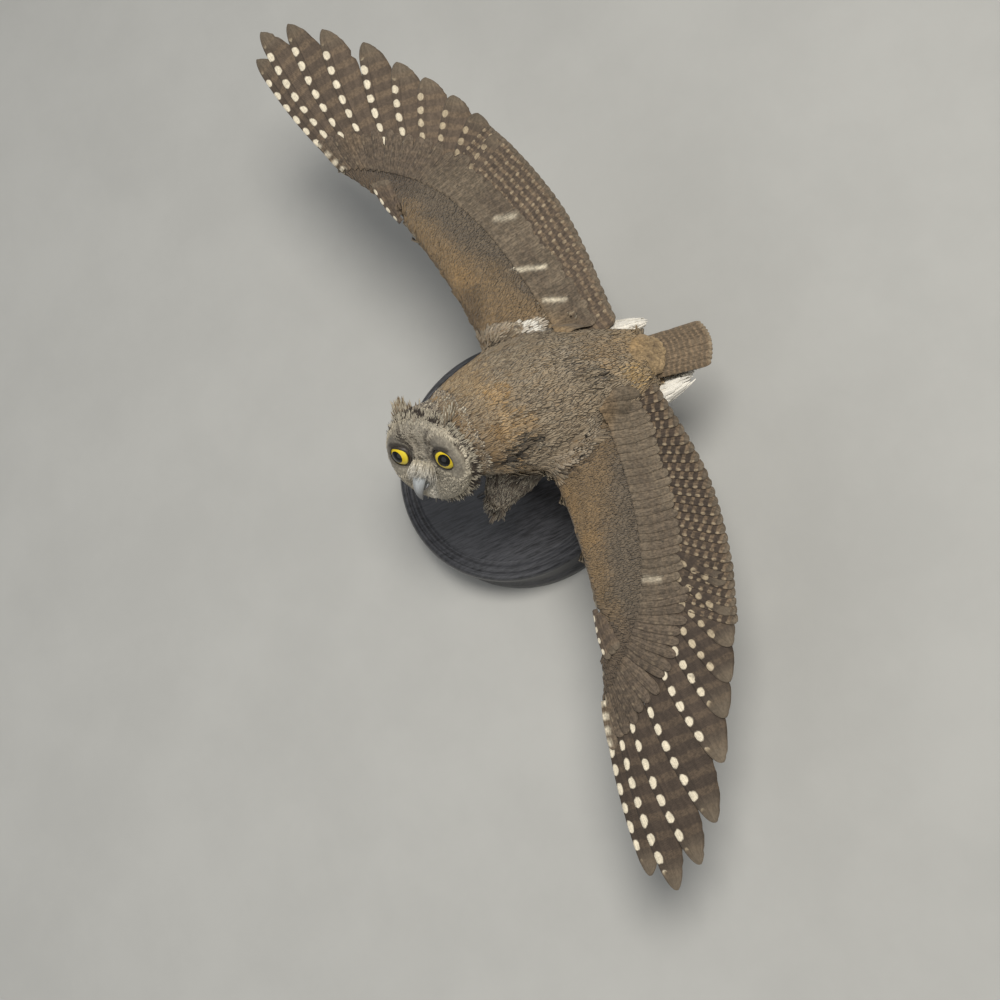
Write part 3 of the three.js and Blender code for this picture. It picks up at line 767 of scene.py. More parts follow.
class Region(Enum):
    """Where on the bird a place is."""

    CROWN = 0
    FACE = 1
    NECK = 2
    TRUNK = 3
    RUMP = 4
    WING_RIGHT = 5
    WING_LEFT = 6
    THIGH = 7
    TARSUS = 8
    BREAST = 9
    UNDERTAIL = 10


def is_in(region: Array, *wanted: Region) -> Array:
    """Returns where the regions' values are among the wanted ones."""
    return np.isin(region, [mark.value for mark in wanted])


WING_ARMS = ("upper_arm", "forearm", "hand")
FLESH: Dict[Region, Tuple[str, ...]] = {
    Region.CROWN: ("head",),
    Region.FACE: ("facial_disc",),
    Region.NECK: ("neck",),
    Region.TRUNK: ("trunk",),
    Region.RUMP: ("rump",),
    Region.WING_RIGHT: tuple(f"wing_right_{part}" for part in WING_ARMS),
    Region.WING_LEFT: tuple(f"wing_left_{part}" for part in WING_ARMS),
    Region.THIGH: ("thigh_left", "thigh_right"),
    Region.TARSUS: ("tarsus_left", "tarsus_right"),
    Region.BREAST: ("breast_plumes",),
    Region.UNDERTAIL: ("undertail_coverts", "flank_plume_left", "flank_plume_right"),
}


@dataclass
class Head:
    """The head's own frame: ahead, left and up from its middle."""

    middle: Array = field(default_factory=lambda: np.array([11.8, -10.8, 120.0]))
    facing: Array = field(default_factory=lambda: unit(np.array([0.552, -0.537, 0.638])))
    toward_crown: Array = field(default_factory=lambda: np.array([-0.636, 0.224, 0.739]))
    eye: Triple = (8.7, 14.6, 2.4)
    eye_radius: float = 7.2

    def __post_init__(self) -> None:
        """Works out the three axes."""
        left = unit(np.cross(self.toward_crown, self.facing))
        self.axes = np.column_stack([self.facing, left, np.cross(self.facing, left)])

    def out(self, q: Array) -> Array:
        """Returns head points as points of the bird."""
        return self.middle + np.asarray(q, float) @ self.axes.T

    def into(self, p: Array) -> Array:
        """Returns points of the bird as head points."""
        return (np.asarray(p, float) - self.middle) @ self.axes

    def eye_at(self, side: int) -> Array:
        """Returns an eyeball's middle in the head's frame."""
        return np.array([self.eye[0], side * self.eye[1], self.eye[2]])

    def lid_up(self, side: int) -> Array:
        """Returns the way from the middle of the lids' opening to the upper lid."""
        up = unit(np.cross(self.socket(side), [0.0, 1.0, 0.0]))
        return up if up[2] > 0 else -up

    def gaze(self, side: int) -> Array:
        """Returns the way an eye looks, in the head's frame."""
        return unit(np.array([1.0, 0.22, 0.12]) if side > 0 else np.array([1.0, -0.10, 0.04]))

    def socket(self, side: int) -> Array:
        """Returns the way in which the lids open, in the head's frame."""
        return unit(np.array([1.0, 0.26, 0.12]) if side > 0 else np.array([1.0, -0.06, 0.0]))


@dataclass(frozen=True)
class WingPlan:
    """A wing drawn flat and then bent: along from shoulder to tip, back from front to rear."""

    name: str
    side: int
    shoulder: Triple
    sweep: float
    rise: float
    droop: float
    reach: float
    slant: float
    span: float = 233.0

    @property
    def region(self) -> Region:
        """The wing's region of the skin."""
        return Region.WING_LEFT if self.side > 0 else Region.WING_RIGHT

    def bend(self, along: Array, back: Array, high: Array) -> Array:
        """Returns points of the bird for places on the flat wing."""
        along, back, high = np.broadcast_arrays(*(np.asarray(v, float)
                                                  for v in (along, back, high)))
        share = along / self.span
        chord = (back - 22.0) / 40.0
        lift = self.rise * share - self.droop * share ** 2 - 5.0 * chord ** 2
        far, sin, cos = along * self.reach, math.sin(self.sweep), math.cos(self.sweep)
        x, y, z = self.shoulder
        return np.stack([x + self.side * (far * cos + back * sin), y - far * sin + back * cos,
                         z + lift + high], axis=-1)

    def flat(self, p: Array) -> Tuple[Array, Array]:
        """Returns along and back for points of the bird."""
        dx = (p[:, 0] - self.shoulder[0]) * self.side
        dy = p[:, 1] - self.shoulder[1]
        sin, cos = math.sin(self.sweep), math.cos(self.sweep)
        return (dx * cos - dy * sin) / self.reach, dx * sin + dy * cos

    def lie(self, p: Array, turn: Array) -> Array:
        """Returns the way on the bird of a turn from straight back, towards the tip, in radians."""
        along, back = self.flat(p)
        there = self.bend(along + np.sin(turn), back + np.cos(turn), 0.0)
        return unit(there - self.bend(along, back, 0.0))


WINGS = {
    "right": WingPlan("right", -1, (-26.0, 45.0, 113.0), 0.255, 60.0, 22.0, 1.0, 17.0),
    "left": WingPlan("left", 1, (40.0, 52.0, 106.0), 0.154, 14.0, 35.0, 0.965, 38.0),
}
LEAD_EDGE = through([(-14, -20), (0, -17), (30, -11), (60, -8), (88, -7.5), (105, -9), (125, -13),
                     (140, -15.2)])
COVERT_EDGE = through([(-14, 33), (0, 35), (30, 37.5), (60, 37), (88, 31), (105, 22), (125, 7),
                       (138, -6)])
TRAIL_EDGE = through([(-24, 49), (-5, 54), (15, 59.5), (40, 64.5), (65, 65.5), (86, 64.5)])


class Skin:
    """One closed skin drawn from the flesh nodes and set inside them by the coat's depth."""

    VOXEL = 1.25
    SWELL = 0.42
    DEPTH = {Region.CROWN: 1.6, Region.FACE: 1.1, Region.NECK: 1.9, Region.THIGH: 2.0,
             Region.TARSUS: 1.0,
             Region.WING_RIGHT: 1.3, Region.WING_LEFT: 1.3, Region.BREAST: 2.6,
             Region.UNDERTAIL: 2.2}
    BODY_DEPTH = 2.2
    DEEPEST_SHARE = 0.30
    PROBE = 0.06
    CELL = 3.5

    def __init__(self, nodes: Dict[str, Piece]) -> None:
        """Keeps the CAD nodes that the skin is drawn from."""
        self.nodes = nodes

    def build(self) -> None:
        """Makes the mesh, the map and the search tree."""
        verts: List[Vector] = []
        faces: List[Tuple[int, ...]] = []
        regions: List[int] = []
        for region, names in FLESH.items():
            for name in names:
                part = bmesh.new()
                part.from_mesh(self.nodes[name].data)
                bmesh.ops.remove_doubles(part, verts=part.verts, dist=1e-6)
                part.normal_update()
                start = len(verts)
                verts += [v.co + v.normal * self.SWELL * MM for v in part.verts]
                faces += [tuple(start + v.index for v in f.verts) for f in part.faces]
                regions += [region.value] * len(part.faces)
                part.free()
        source = bpy.data.meshes.new("skin_source")
        source.from_pydata(verts, [], faces)
        tree = BVHTree.FromPolygons(verts, faces)
        holder = bpy.data.objects.new("skin_source", source)
        bpy.context.scene.collection.objects.link(holder)
        remesh = holder.modifiers.new("voxels", "REMESH")
        remesh.mode = "VOXEL"
        remesh.voxel_size = self.VOXEL * MM
        graph = bpy.context.evaluated_depsgraph_get()
        done = bpy.data.meshes.new_from_object(holder.evaluated_get(graph))
        bpy.data.objects.remove(holder)
        bm = bmesh.new()
        bm.from_mesh(done)
        self.keep_largest(bm)
        self.relax(bm, 3)
        bm.normal_update()
        outer = BVHTree.FromBMesh(bm)
        moves = []
        for v in bm.verts:
            region = Region(regions[tree.find_nearest(v.co)[2]])
            hit = outer.ray_cast(v.co - v.normal * 0.1 * MM, -v.normal, self.PROBE)[3]
            room = (hit or self.PROBE) / MM
            depth = min(self.DEPTH.get(region, self.BODY_DEPTH) + self.SWELL,
                        self.DEEPEST_SHARE * room)
            moves.append(-v.normal * depth * MM)
        place = np.array([v.co for v in bm.verts]) / MM
        raised = sum(feature.lift * feature.near(place) for feature in FEATURES if feature.lift)
        for v, move, rise in zip(bm.verts, moves, raised):
            v.co += move + v.normal * float(rise) * MM
        self.relax(bm, 2)
        bmesh.ops.triangulate(bm, faces=bm.faces)
        bm.normal_update()
        self.mesh = mesh_of(bm, "owl_skin", outward=False)
        self.read(tree, regions)

    @staticmethod
    def relax(bm: BMesh, times: int) -> None:
        """Smooths the skin so many times."""
        for _ in range(times):
            bmesh.ops.smooth_vert(bm, verts=bm.verts, factor=0.5, use_axis_x=True, use_axis_y=True,
                                  use_axis_z=True)

    @staticmethod
    def keep_largest(bm: BMesh) -> None:
        """Deletes every loose body but the largest."""
        left = set(bm.verts)
        bodies = []
        while left:
            seed = left.pop()
            body, edge = {seed}, [seed]
            while edge:
                v = edge.pop()
                for e in v.link_edges:
                    other = e.other_vert(v)
                    if other in left:
                        left.discard(other)
                        body.add(other)
                        edge.append(other)
            bodies.append(body)
        bodies.sort(key=len)
        for body in bodies[:-1]:
            bmesh.ops.delete(bm, geom=list(body), context="VERTS")
        LOG.info("skin: %d bodies, kept %d vertices", len(bodies), len(bodies[-1]))

    def read(self, tree: BVHTree, regions: Sequence[int]) -> None:
        """Reads the finished mesh into arrays, in millimetres, and unwraps it."""
        mesh = self.mesh
        count = len(mesh.vertices)
        self.points = np.empty(count * 3, np.float32)
        mesh.vertices.foreach_get("co", self.points)
        self.points = self.points.reshape(-1, 3).astype(float) / MM
        self.normals = np.empty(count * 3, np.float32)
        mesh.vertices.foreach_get("normal", self.normals)
        self.normals = self.normals.reshape(-1, 3).astype(float)
        self.faces = np.empty(len(mesh.polygons) * 3, np.int32)
        mesh.loops.foreach_get("vertex_index", self.faces)
        self.faces = self.faces.reshape(-1, 3)
        self.region = np.array([regions[tree.find_nearest(Vector(p) * MM)[2]] for p in self.points])
        self.tree = BVHTree.FromPolygons([Vector(p) for p in self.points], self.faces.tolist())
        self.unwrap()

    def unwrap(self) -> None:
        """Unwraps the skin by its own shape into the map OFBake."""
        holder = bpy.data.objects.new("skin_unwrap", self.mesh)
        bpy.context.scene.collection.objects.link(holder)
        self.mesh.uv_layers.new(name="OFBake")
        bpy.context.view_layer.objects.active = holder
        holder.select_set(True)
        bpy.ops.object.mode_set(mode="EDIT")
        bpy.ops.mesh.select_all(action="SELECT")
        bpy.ops.uv.smart_project(angle_limit=math.radians(66), island_margin=0.003)
        bpy.ops.object.mode_set(mode="OBJECT")
        uv = np.empty(len(self.mesh.loops) * 2, np.float32)
        self.mesh.uv_layers["OFBake"].data.foreach_get("uv", uv)
        self.uv = uv.reshape(-1, 3, 2).astype(float)
        bpy.data.objects.remove(holder)

    def scatter(self, want: Rule, rng: Random,
                tries: int = 7) -> Dict[str, Array]:
        """Spreads roots evenly over the skin.

        Args:
            want: Returns the wanted spacing, or 0 for none, from points, normals and regions.
            rng: The random numbers.
            tries: Candidates for each root.

        Returns:
            Arrays of point, normal, region, uv and space for each root.
        """
        a, b, c = (self.points[self.faces[:, k]] for k in range(3))
        area = np.linalg.norm(np.cross(b - a, c - a), axis=1) / 2
        centre_space = want((a + b + c) / 3, unit(np.cross(b - a, c - a)),
                            self.region[self.faces[:, 0]])
        weight = np.where(centre_space > 0, area / np.maximum(centre_space, 0.3) ** 2, 0)
        total = int(weight.sum() * tries)
        face = rng.choice(len(weight), size=total, p=weight / weight.sum())
        u, v = rng.random((2, total))
        turned = u + v > 1
        u, v = np.where(turned, 1 - u, u), np.where(turned, 1 - v, v)
        bary = np.stack([1 - u - v, u, v], axis=1)
        corner = self.faces[face]
        point = np.einsum("nk,nkd->nd", bary, self.points[corner])
        normal = unit(np.einsum("nk,nkd->nd", bary, self.normals[corner]))
        uv = np.einsum("nk,nkd->nd", bary, self.uv[face])
        region = self.region[corner[:, 0]]
        space = want(point, normal, region)
        kept, cells = [], {}
        keys = np.floor(point / self.CELL).astype(int)
        for i in range(total):
            gap = space[i]
            if gap <= 0:
                continue
            x, y, z = keys[i]
            near = [j for dx in (-1, 0, 1) for dy in (-1, 0, 1) for dz in (-1, 0, 1)
                    for j in cells.get((x + dx, y + dy, z + dz), ())]
            if near:
                d = point[near] - point[i]
                if (np.einsum("nd,nd->n", d, d) < gap * gap).any():
                    continue
            cells.setdefault((x, y, z), []).append(i)
            kept.append(i)
        kept = np.array(kept)
        return {"point": point[kept], "normal": normal[kept], "region": region[kept],
                "uv": uv[kept], "space": space[kept]}


# ------------------------------------------------------------------ markings and lie


class Markings:
    """The plumage's colours as a function of place, shared by the skin and the coat."""

    # The breast's ground is DARK: painted shade under the head.
    GROUND = {
        Region.CROWN: Tint.CROWN, Region.FACE: Tint.DISC, Region.NECK: Tint.NECK,
        Region.TRUNK: Tint.BACK,
        Region.RUMP: Tint.RUMP, Region.WING_RIGHT: Tint.TAWNY, Region.WING_LEFT: Tint.TAWNY,
        Region.THIGH: Tint.LEG, Region.TARSUS: Tint.LEG, Region.BREAST: Tint.DARK,
        Region.UNDERTAIL: Tint.WHITE,
    }
    STREAK = {Region.CROWN: 1.0, Region.FACE: 0.15, Region.NECK: 0.5, Region.TRUNK: 0.5,
              Region.RUMP: 0.35,
              Region.WING_RIGHT: 0.32, Region.WING_LEFT: 0.32, Region.BREAST: 0.85}
    SPECKLE = {Region.CROWN: 0.8, Region.FACE: 0.45, Region.NECK: 0.5, Region.TRUNK: 0.45,
               Region.RUMP: 0.45,
               Region.WING_RIGHT: 0.45, Region.WING_LEFT: 0.45, Region.BREAST: 0.6,
               Region.UNDERTAIL: 0.12}
    TIP = {Region.CROWN: 0.35, Region.FACE: 0.25, Region.NECK: 0.25, Region.TRUNK: 0.22,
           Region.RUMP: 0.2, Region.BREAST: 0.55, Region.THIGH: 0.4, Region.UNDERTAIL: 0.5}

    def __init__(self, head: Head) -> None:
        """Keeps the head's frame."""
        self.head = head

    def ground(self, p: Array, normal: Array, region: Array) -> Array:
        """Returns the colour of the plumage at places of the bird, painted shade included.

        Args:
            p: Places in millimetres.
            normal: The skin's normals there.
            region: The regions' values.

        Returns:
            Colours in linear light.
        """
        table = np.stack([self.GROUND[r].light for r in Region])
        colour = table[region]

        def toward(tint: Tint, share: Array) -> None:
            """Mixes the colour towards a tint."""
            nonlocal colour
            share = np.clip(share, 0, 1)[:, None]
            colour = colour * (1 - share) + tint.light * share

        under = smooth(-normal[:, 2], 0.05, 0.55)
        body = is_in(region, Region.TRUNK, Region.RUMP, Region.NECK)
        toward(Tint.BELLY, under * body)
        coarse, fine = mottle(p, 9.0, 3), mottle(p, 3.6, 5)
        ochre = smooth(coarse, 0.1, 0.7) * is_in(region, Region.NECK) * 0.7
        toward(Tint.OCHRE,
               ochre + smooth(coarse + fine, 0.5, 1.2) * is_in(region, Region.TRUNK) * 0.2)
        toward(Tint.DARK, smooth(-fine - 0.4 * coarse, 0.35, 0.9) * body * 0.45)
        wing = is_in(region, Region.WING_RIGHT, Region.WING_LEFT)
        # The left wing is painted darker than the right, painted shade; the trunk is made a little
        # darker overall.
        toward(Tint.DARK,
               is_in(region, Region.WING_LEFT) * 0.18 + is_in(region, Region.TRUNK) * 0.12)
        for plan in WINGS.values():
            mine = wing & ((p[:, 0] * plan.side) > 0)
            along, back = plan.flat(p)
            toward(Tint.COVERT,
                   mine * smooth(back - (25.0 - 0.27 * along) + 5.0 * coarse, -7.0, 7.0)
                   * (1 - under))
            toward(Tint.OCHRE,
                   mine * smooth(coarse + 0.3 * fine, 0.0, 0.8) * smooth(12.0 - back, 0.0, 8.0)
                   * 0.20)
            toward(Tint.DARK, mine * smooth(along, 86, 106) * 0.7 * (1 - under))
            toward(Tint.DARK,
                   mine * smooth(back - COVERT_EDGE(along), -16.0, 2.0)
                   * smooth(-coarse, -0.2, 0.5) * 0.5)
            flat = np.stack([along, back], axis=1)
            for s0, c0, s1, c1, wide, share in WING_LINES[plan.name]:
                near = np.exp(-(line_distance(flat, ((s0, c0), (s1, c1))) / wide) ** 2)
                toward(Tint.PALE, mine * near * share * (1 - under))
            toward(Tint.BELLY, mine * under * 0.8)
            front = smooth(LEAD_EDGE(along) + 4.0 - back, 0.0, 2.5)
            toward(Tint.PALE,
                   mine * front * smooth(along, 70, 82) * smooth(np.sin(along * 0.9), -0.3, 0.5)
                   * 0.8)
        face = is_in(region, Region.FACE)
        q = self.head.into(p)
        for side in (1, -1):
            e = self.head.eye_at(side)
            r = np.hypot(q[:, 1] - e[1], q[:, 2] - e[2])
            mine = face & (q[:, 1] * side > 0)
            rings = 0.5 + 0.5 * np.sin(r * 2.6 + 2.0 * fine)
            toward(Tint.DARK, mine * rings * 0.28)
            toward(Tint.STREAK, mine * smooth(7.0 - r, 0.0, 1.0) * 0.6)
            # Darker above the eye: painted shade under the brow.
            above = smooth(q[:, 2] - e[2] + 0.5 * (e[1] - q[:, 1]) * side, 1.0, 4.0)
            toward(Tint.STREAK, mine * smooth(9.6 - r, 0.0, 2.0) * above * 0.85)
        head_part = is_in(region, Region.FACE, Region.CROWN)
        off = np.abs(np.abs(q[:, 1]) - 4.6 - 0.30 * (q[:, 2] - 3.0) + 1.2 * fine)
        toward(Tint.STREAK,
               head_part * smooth(2.0 - off, 0.0, 1.2) * smooth(q[:, 2], 0.5, 4.0) * (q[:, 0] > -4)
               * 0.8)
        middle = smooth(4.6 - np.abs(q[:, 1]), 0.0, 2.4) * smooth(-q[:, 2], -3.0, 1.0)
        toward(Tint.WHITE, face * middle * 0.8)
        cheek = smooth(-q[:, 2], 3.0, 7.0)
        toward(Tint.PALE, face * cheek * 0.30)
        rim = smooth(np.hypot(q[:, 1] / 27.0, (q[:, 2] + 1) / 25.0), 0.86, 0.95)
        toward(Tint.PALE, face * rim * 0.6)
        edge = smooth(q[:, 0], 2.0, 5.0) * is_in(region,
                                                 Region.CROWN) * (1 - smooth(q[:, 2], 9.0, 16.0))
        toward(Tint.STREAK, edge * smooth(mottle(p, 2.4, 9), -0.1, 0.35) * 0.85)
        # Each feature's colour. The dark grooves and the patch at the right wing's front edge are
        # painted shade.
        for feature in FEATURES:
            outer = p + normal * (2.0 - 0.6 * feature.lift)
            toward(feature.tint, feature.share * np.minimum(1.0, 1.3 * feature.near(outer)))
        crown = is_in(region, Region.CROWN)
        toward(Tint.STREAK, crown * smooth(mottle(p, 2.1, 13), 0.15, 0.5) * 0.75)
        toward(Tint.PALE, crown * smooth(mottle(p, 2.4, 17), 0.2, 0.5) * 0.6)
        # Darker at the front of the neck, under the head: painted shade.
        toward(Tint.DARK, is_in(region, Region.NECK) * smooth(q[:, 0], -14.0, -4.0) * 0.5)
        return colour * (1 + 0.10 * fine + 0.06 * coarse)[:, None]

    def table(self, values: Dict[Region, float], region: Array) -> Array:
        """Looks up one number for each place's region."""
        return np.array([values.get(r, 0.0) for r in Region])[region]


class Lie:
    """The way in which feathers lie over the bird."""

    LEG_WAY = {1: (1.0, -33.0, -20.0), -1: (-5.0, -32.0, -18.0)}

    def __init__(self, head: Head) -> None:
        """Keeps the head's frame."""
        self.head = head

    def way(self, p: Array, normal: Array, region: Array, swirl: Array) -> Array:
        """Returns unit vectors in the skin along which feathers point.

        Args:
            p: Places in millimetres.
            normal: The skin's normals.
            region: The regions' values.
            swirl: A turn for each, in radians.

        Returns:
            Unit vectors square to the normals.
        """
        d = np.tile([0.0, 1.0, -0.06], (len(p), 1))
        d[:, 0] += 0.006 * (p[:, 0] - 8)
        nape = -self.head.axes[:, 0] * 0.7 + np.array([0.0, 1.0, 0.0])
        d = np.where(is_in(region, Region.NECK)[:, None], nape, d)
        d = np.where(is_in(region, Region.BREAST)[:, None], [28.0, -38.0, -12.0], d)
        d = np.where(is_in(region, Region.TARSUS)[:, None], [0.0, -0.5, -1.0], d)
        for side, way in self.LEG_WAY.items():
            leg = is_in(region, Region.THIGH) & ((p[:, 0] - 4) * side > 0)
            d = np.where(leg[:, None], way, d)
        for plan in WINGS.values():
            mine = is_in(region, plan.region)
            along, _ = plan.flat(p)
            turn = np.radians(8 + 60 * smooth(along, 84, 136))
            d = np.where(mine[:, None], plan.lie(p, turn), d)
        q = self.head.into(p)
        crown = np.tile([-1.0, 0.0, 0.0], (len(p), 1))
        d = np.where(is_in(region, Region.CROWN)[:, None], crown @ self.head.axes.T, d)
        side = np.where(q[:, 1] > 0, 1.0, -1.0)
        radial = np.stack([np.zeros(len(p)), q[:, 1] - side * self.head.eye[1],
                           q[:, 2] - self.head.eye[2]], axis=1)
        brow = np.stack([np.zeros(len(p)), side * 0.35, np.where(q[:, 2] > -4, 1.0, -1.0)], axis=1)
        near = smooth(5.0 - np.abs(q[:, 1]), 0.0, 3.0)[:, None]
        face = unit(radial) * (1 - near) + brow * near
        d = np.where(is_in(region, Region.FACE)[:, None], face @ self.head.axes.T, d)
        d = d - normal * np.einsum("nd,nd->n", d, normal)[:, None]
        d = unit(d)
        side_way = np.cross(normal, d)
        return unit(d * np.cos(swirl)[:, None] + side_way * np.sin(swirl)[:, None])


# ------------------------------------------------------------------ the coat


@dataclass(frozen=True)
class Tuft:
    """One kind of small feather: a fan of thin lobes that lies along the skin."""

    space: float
    length: float
    width: float
    lift: float
    lobes: int = 7
    rings: int = 3
    spread: float = 0.30
    loose: float = 0.10
    steps: int = 3


def lobe_faces(rings: int) -> Tuple[Array, Array]:
    """Returns the quads and triangles of one lobe of so many rings and a tip."""
    quads = []
    for r in range(rings - 1):
        a, b = 3 * r, 3 * r + 3
        quads += [(a, a + 1, b + 1, b), (a + 1, a + 2, b + 2, b + 1), (a + 2, a, b, b + 2)]
    last, tip = 3 * (rings - 1), 3 * rings
    tris = [(0, 2, 1), (last, last + 1, tip), (last + 1, last + 2, tip), (last + 2, last, tip)]
    return np.array(quads), np.array(tris)


def lobes_shape(centre: Array, normal: Array, side: Array, wide: Array, ridge: Array, colour: Array,
                vane: Array, marks: Array, root: Array) -> Shape:
    """Builds many lobes at once.

    Args:
        centre: Middle of each ring and the tip, shape (n, rings + 1, 3).
        normal: Upward vector at each, the same shape.
        side: Sideways vector at each, the same shape.
        wide: Half width at each ring, shape (n, rings).
        ridge: Height of the ridge at each ring, shape (n, rings).
        colour: Colour at each ring and the tip, shape (n, rings + 1, 3).
        vane: The vane vector at each, shape (n, rings + 1, 3).
        marks: The marks of each lobe, shape (n, 3).
        root: The map's place of each ring and the tip, with its width, shape (n, rings + 1, 3).

    Returns:
        The shape.
    """
    n, stations = centre.shape[:2]
    rings = stations - 1
    left = centre[:, :-1] + side[:, :-1] * wide[..., None]
    right = centre[:, :-1] - side[:, :-1] * wide[..., None]
    top = centre[:, :-1] + normal[:, :-1] * ridge[..., None]
    body = np.stack([left, top, right], axis=2).reshape(n, rings * 3, 3)
    points = np.concatenate([body, centre[:, -1:]], axis=1)

    def spread(values: Array) -> Array:
        """Repeats each ring's value for its three vertices."""
        return np.concatenate([np.repeat(values[:, :-1], 3, axis=1), values[:, -1:]], axis=1)

    places = spread(root)
    shift = np.tile([1.0, 0.0, -1.0], rings)
    places[:, :-1, 0] += shift * places[:, :-1, 2]
    quads, tris = lobe_faces(rings)
    size = rings * 3 + 1
    starts = (np.arange(n) * size)[:, None, None]
    return Shape(
        points.reshape(-1, 3),
        (quads[None] + starts).reshape(-1, 4),
        (tris[None] + starts).reshape(-1, 3),
        spread(colour).reshape(-1, 3),
        spread(vane).reshape(-1, 3),
        np.repeat(marks, size, axis=0),
        places[..., :2].reshape(-1, 2),
    )


class Coat:
    """The small feathers over the skin."""

    PATCH = 0.003
    LIMIT = 190000
    SAME_SIDE = 0.35
    QUICK_SPACE = 1.5
    # A lobe's four stations from root to tip: how far along, how streaked, how pale, and how much
    # painted shade darkens it towards the root.
    LOBE_TURNS = np.array([0.0, 0.45, 0.88, 1.0])
    STREAKED = np.array([0.8, 1.0, 0.9, 0.35])
    TIPPED = np.array([0.0, 0.15, 0.6, 1.0])
    ROOT_SHADE = np.array([0.72, 0.94, 1.0, 1.02])
    LOBE_HALF = np.array([0.80, 1.25, 0.95])

    def __init__(self, skin: Skin, marks: Markings, finish: Material) -> None:
        """Keeps what every piece of the coat reads."""
        self.skin = skin
        self.marks = marks
        self.lie = Lie(marks.head)
        self.finish = finish

    def walk(self, point: Array, normal: Array, way: Array, length: Array,
             steps: int) -> Tuple[Array, Array, Array]:
        """Walks from each root along the skin.

        Args:
            point: Roots.
            normal: The skin's normals there.
            way: The way at the start.
            length: How far each walks.
            steps: Number of steps.

        Returns:
            Places, normals and ways, each of shape (n, steps + 1, 3).
        """
        places, normals, ways = [point], [normal], [way]
        p, n, d = point.copy(), normal.copy(), way.copy()
        find = self.skin.tree.find_nearest
        face_normals = self.skin.normals[self.skin.faces].mean(axis=1)
        for _ in range(steps):
            p = p + d * (length / steps)[:, None]
            hits = [find(Vector(q)) for q in p]
            q = np.array([h[0] for h in hits])
            m = unit(face_normals[[h[2] for h in hits]])
            fits = (np.einsum("nd,nd->n", m, normal) > self.SAME_SIDE)[:, None]
            p, n = np.where(fits, q, p), np.where(fits, m, n)
            d = unit(d - n * np.einsum("nd,nd->n", d, n)[:, None])
            places.append(p)
            normals.append(n)
            ways.append(d)
        return np.stack(places, 1), np.stack(normals, 1), np.stack(ways, 1)

    def feathers(self, roots: Dict[str, Array], kind: Tuft, rng: Random) -> Shape:
        """Builds the feathers of one kind on their roots."""
        p, normal, region = roots["point"], roots["normal"], roots["region"]
        n = len(p)
        size = roots["space"] / kind.space
        length = kind.length * size * rng.uniform(0.85, 1.15, n)
        width = (kind.width * size)[:, None, None]
        swirl = 0.22 * mottle(p, 14.0, 21) + rng.normal(0, kind.loose, n)
        way = self.lie.way(p, normal, region, swirl)
        places, normals, ways = self.walk(p, normal, way, length, kind.steps)
        sides = np.cross(normals, ways)
        k = kind.lobes
        fan = np.linspace(-1, 1, k)
        rings = kind.rings
        keys = turns_index(rings)
        turns = self.LOBE_TURNS if rings == 3 else np.array([0.0, 0.6, 1.0])
        reach = (1 - 0.30 * fan ** 2)[None] * rng.uniform(0.84, 1.10, (n, k))
        at = np.clip(turns[None, None] * reach[..., None], 0, 1.1) * kind.steps
        low = np.clip(np.floor(at).astype(int), 0, kind.steps - 1)
        part = (at - low)[..., None]
        rows = np.arange(n)[:, None, None]

        def along(values: Array) -> Array:
            """Reads the walk at each ring."""
            return values[rows, low] * (1 - part) + values[rows, low + 1] * part

        centre, up, side = along(places), unit(along(normals)), unit(along(sides))
        bulge = 0.30 + 0.85 * smooth(turns, -0.1, 0.75)
        aside = fan[None, :, None]
        lateral = aside * (width / 2) * bulge
        lateral = lateral + aside * kind.spread * at / kind.steps * width * 0.4
        lateral = lateral + rng.normal(0, 0.05, (n, k, 1)) * width * turns
        rise = -0.45 + (kind.lift * size[:, None, None] + 0.45) * turns ** 0.75
        rise = rise * (1 - 0.18 * aside ** 2) + rng.uniform(-0.07, 0.07, (n, k, 1)) * turns
        centre = centre + side * lateral[..., None] + up * rise[..., None]
        half = width / k * self.LOBE_HALF[:rings]
        half = np.repeat(half, k, axis=1)
        ridge = half * 0.13 + 0.04
        shown = 0.3 * p + 0.7 * places[:, -1]
        ground = self.marks.ground(shown, unit(normal + normals[:, -1]), region)
        shade = ground[:, None, None, :] * rng.uniform(0.93, 1.07, (n, 1, 1, 1))
        shade = shade * rng.uniform(0.93, 1.07, (n, k, 1, 1))
        streak = self.marks.table(self.marks.STREAK, region)[:, None]
        streak = streak * rng.uniform(0.4, 1.2, (n, 1))
        streak = np.clip(streak * (1 - 2.1 * np.abs(fan))[None].clip(0, 1), 0, 1)
        stripe = streak[:, :, None, None] * self.STREAKED[keys, None]
        colour = shade * (1 - stripe) + Tint.STREAK.light * stripe
        pale = self.marks.table(self.marks.TIP, region)[:, None] * rng.uniform(0, 1.2, (n, 1))
        pale = pale * (np.abs(fan) > 0.2)
        tip = np.clip(pale[:, :, None, None] * self.TIPPED[keys, None], 0, 1)
        colour = colour * (1 - tip) + Tint.PALE.light * tip
        # Painted shade: each lobe darker towards its root, under the lobes that overlap it.
        colour = colour * self.ROOT_SHADE[keys, None]
        own = rng.random((n, k, 1)) * np.ones((1, 1, rings + 1))
        vane = np.stack([np.full_like(own, 0.5), turns * np.ones_like(own), own], axis=-1)
        speckle = np.repeat(self.marks.table(self.marks.SPECKLE, region), k)
        marks = np.stack([np.zeros(n * k), np.zeros(n * k), speckle], axis=1)
        spot = roots["uv"][:, None, None, :] + np.zeros((n, k, rings + 1, 1))
        spot[..., 0] += self.PATCH * 0.36 * aside
        spot[..., 1] += self.PATCH * (turns - 0.5)
        spot = np.concatenate([spot, np.full((n, k, rings + 1, 1), self.PATCH * 0.36 / k)], axis=-1)

        def flat(values: Array) -> Array:
            """Joins the feather and lobe axes."""
            return values.reshape(n * k, *values.shape[2:])

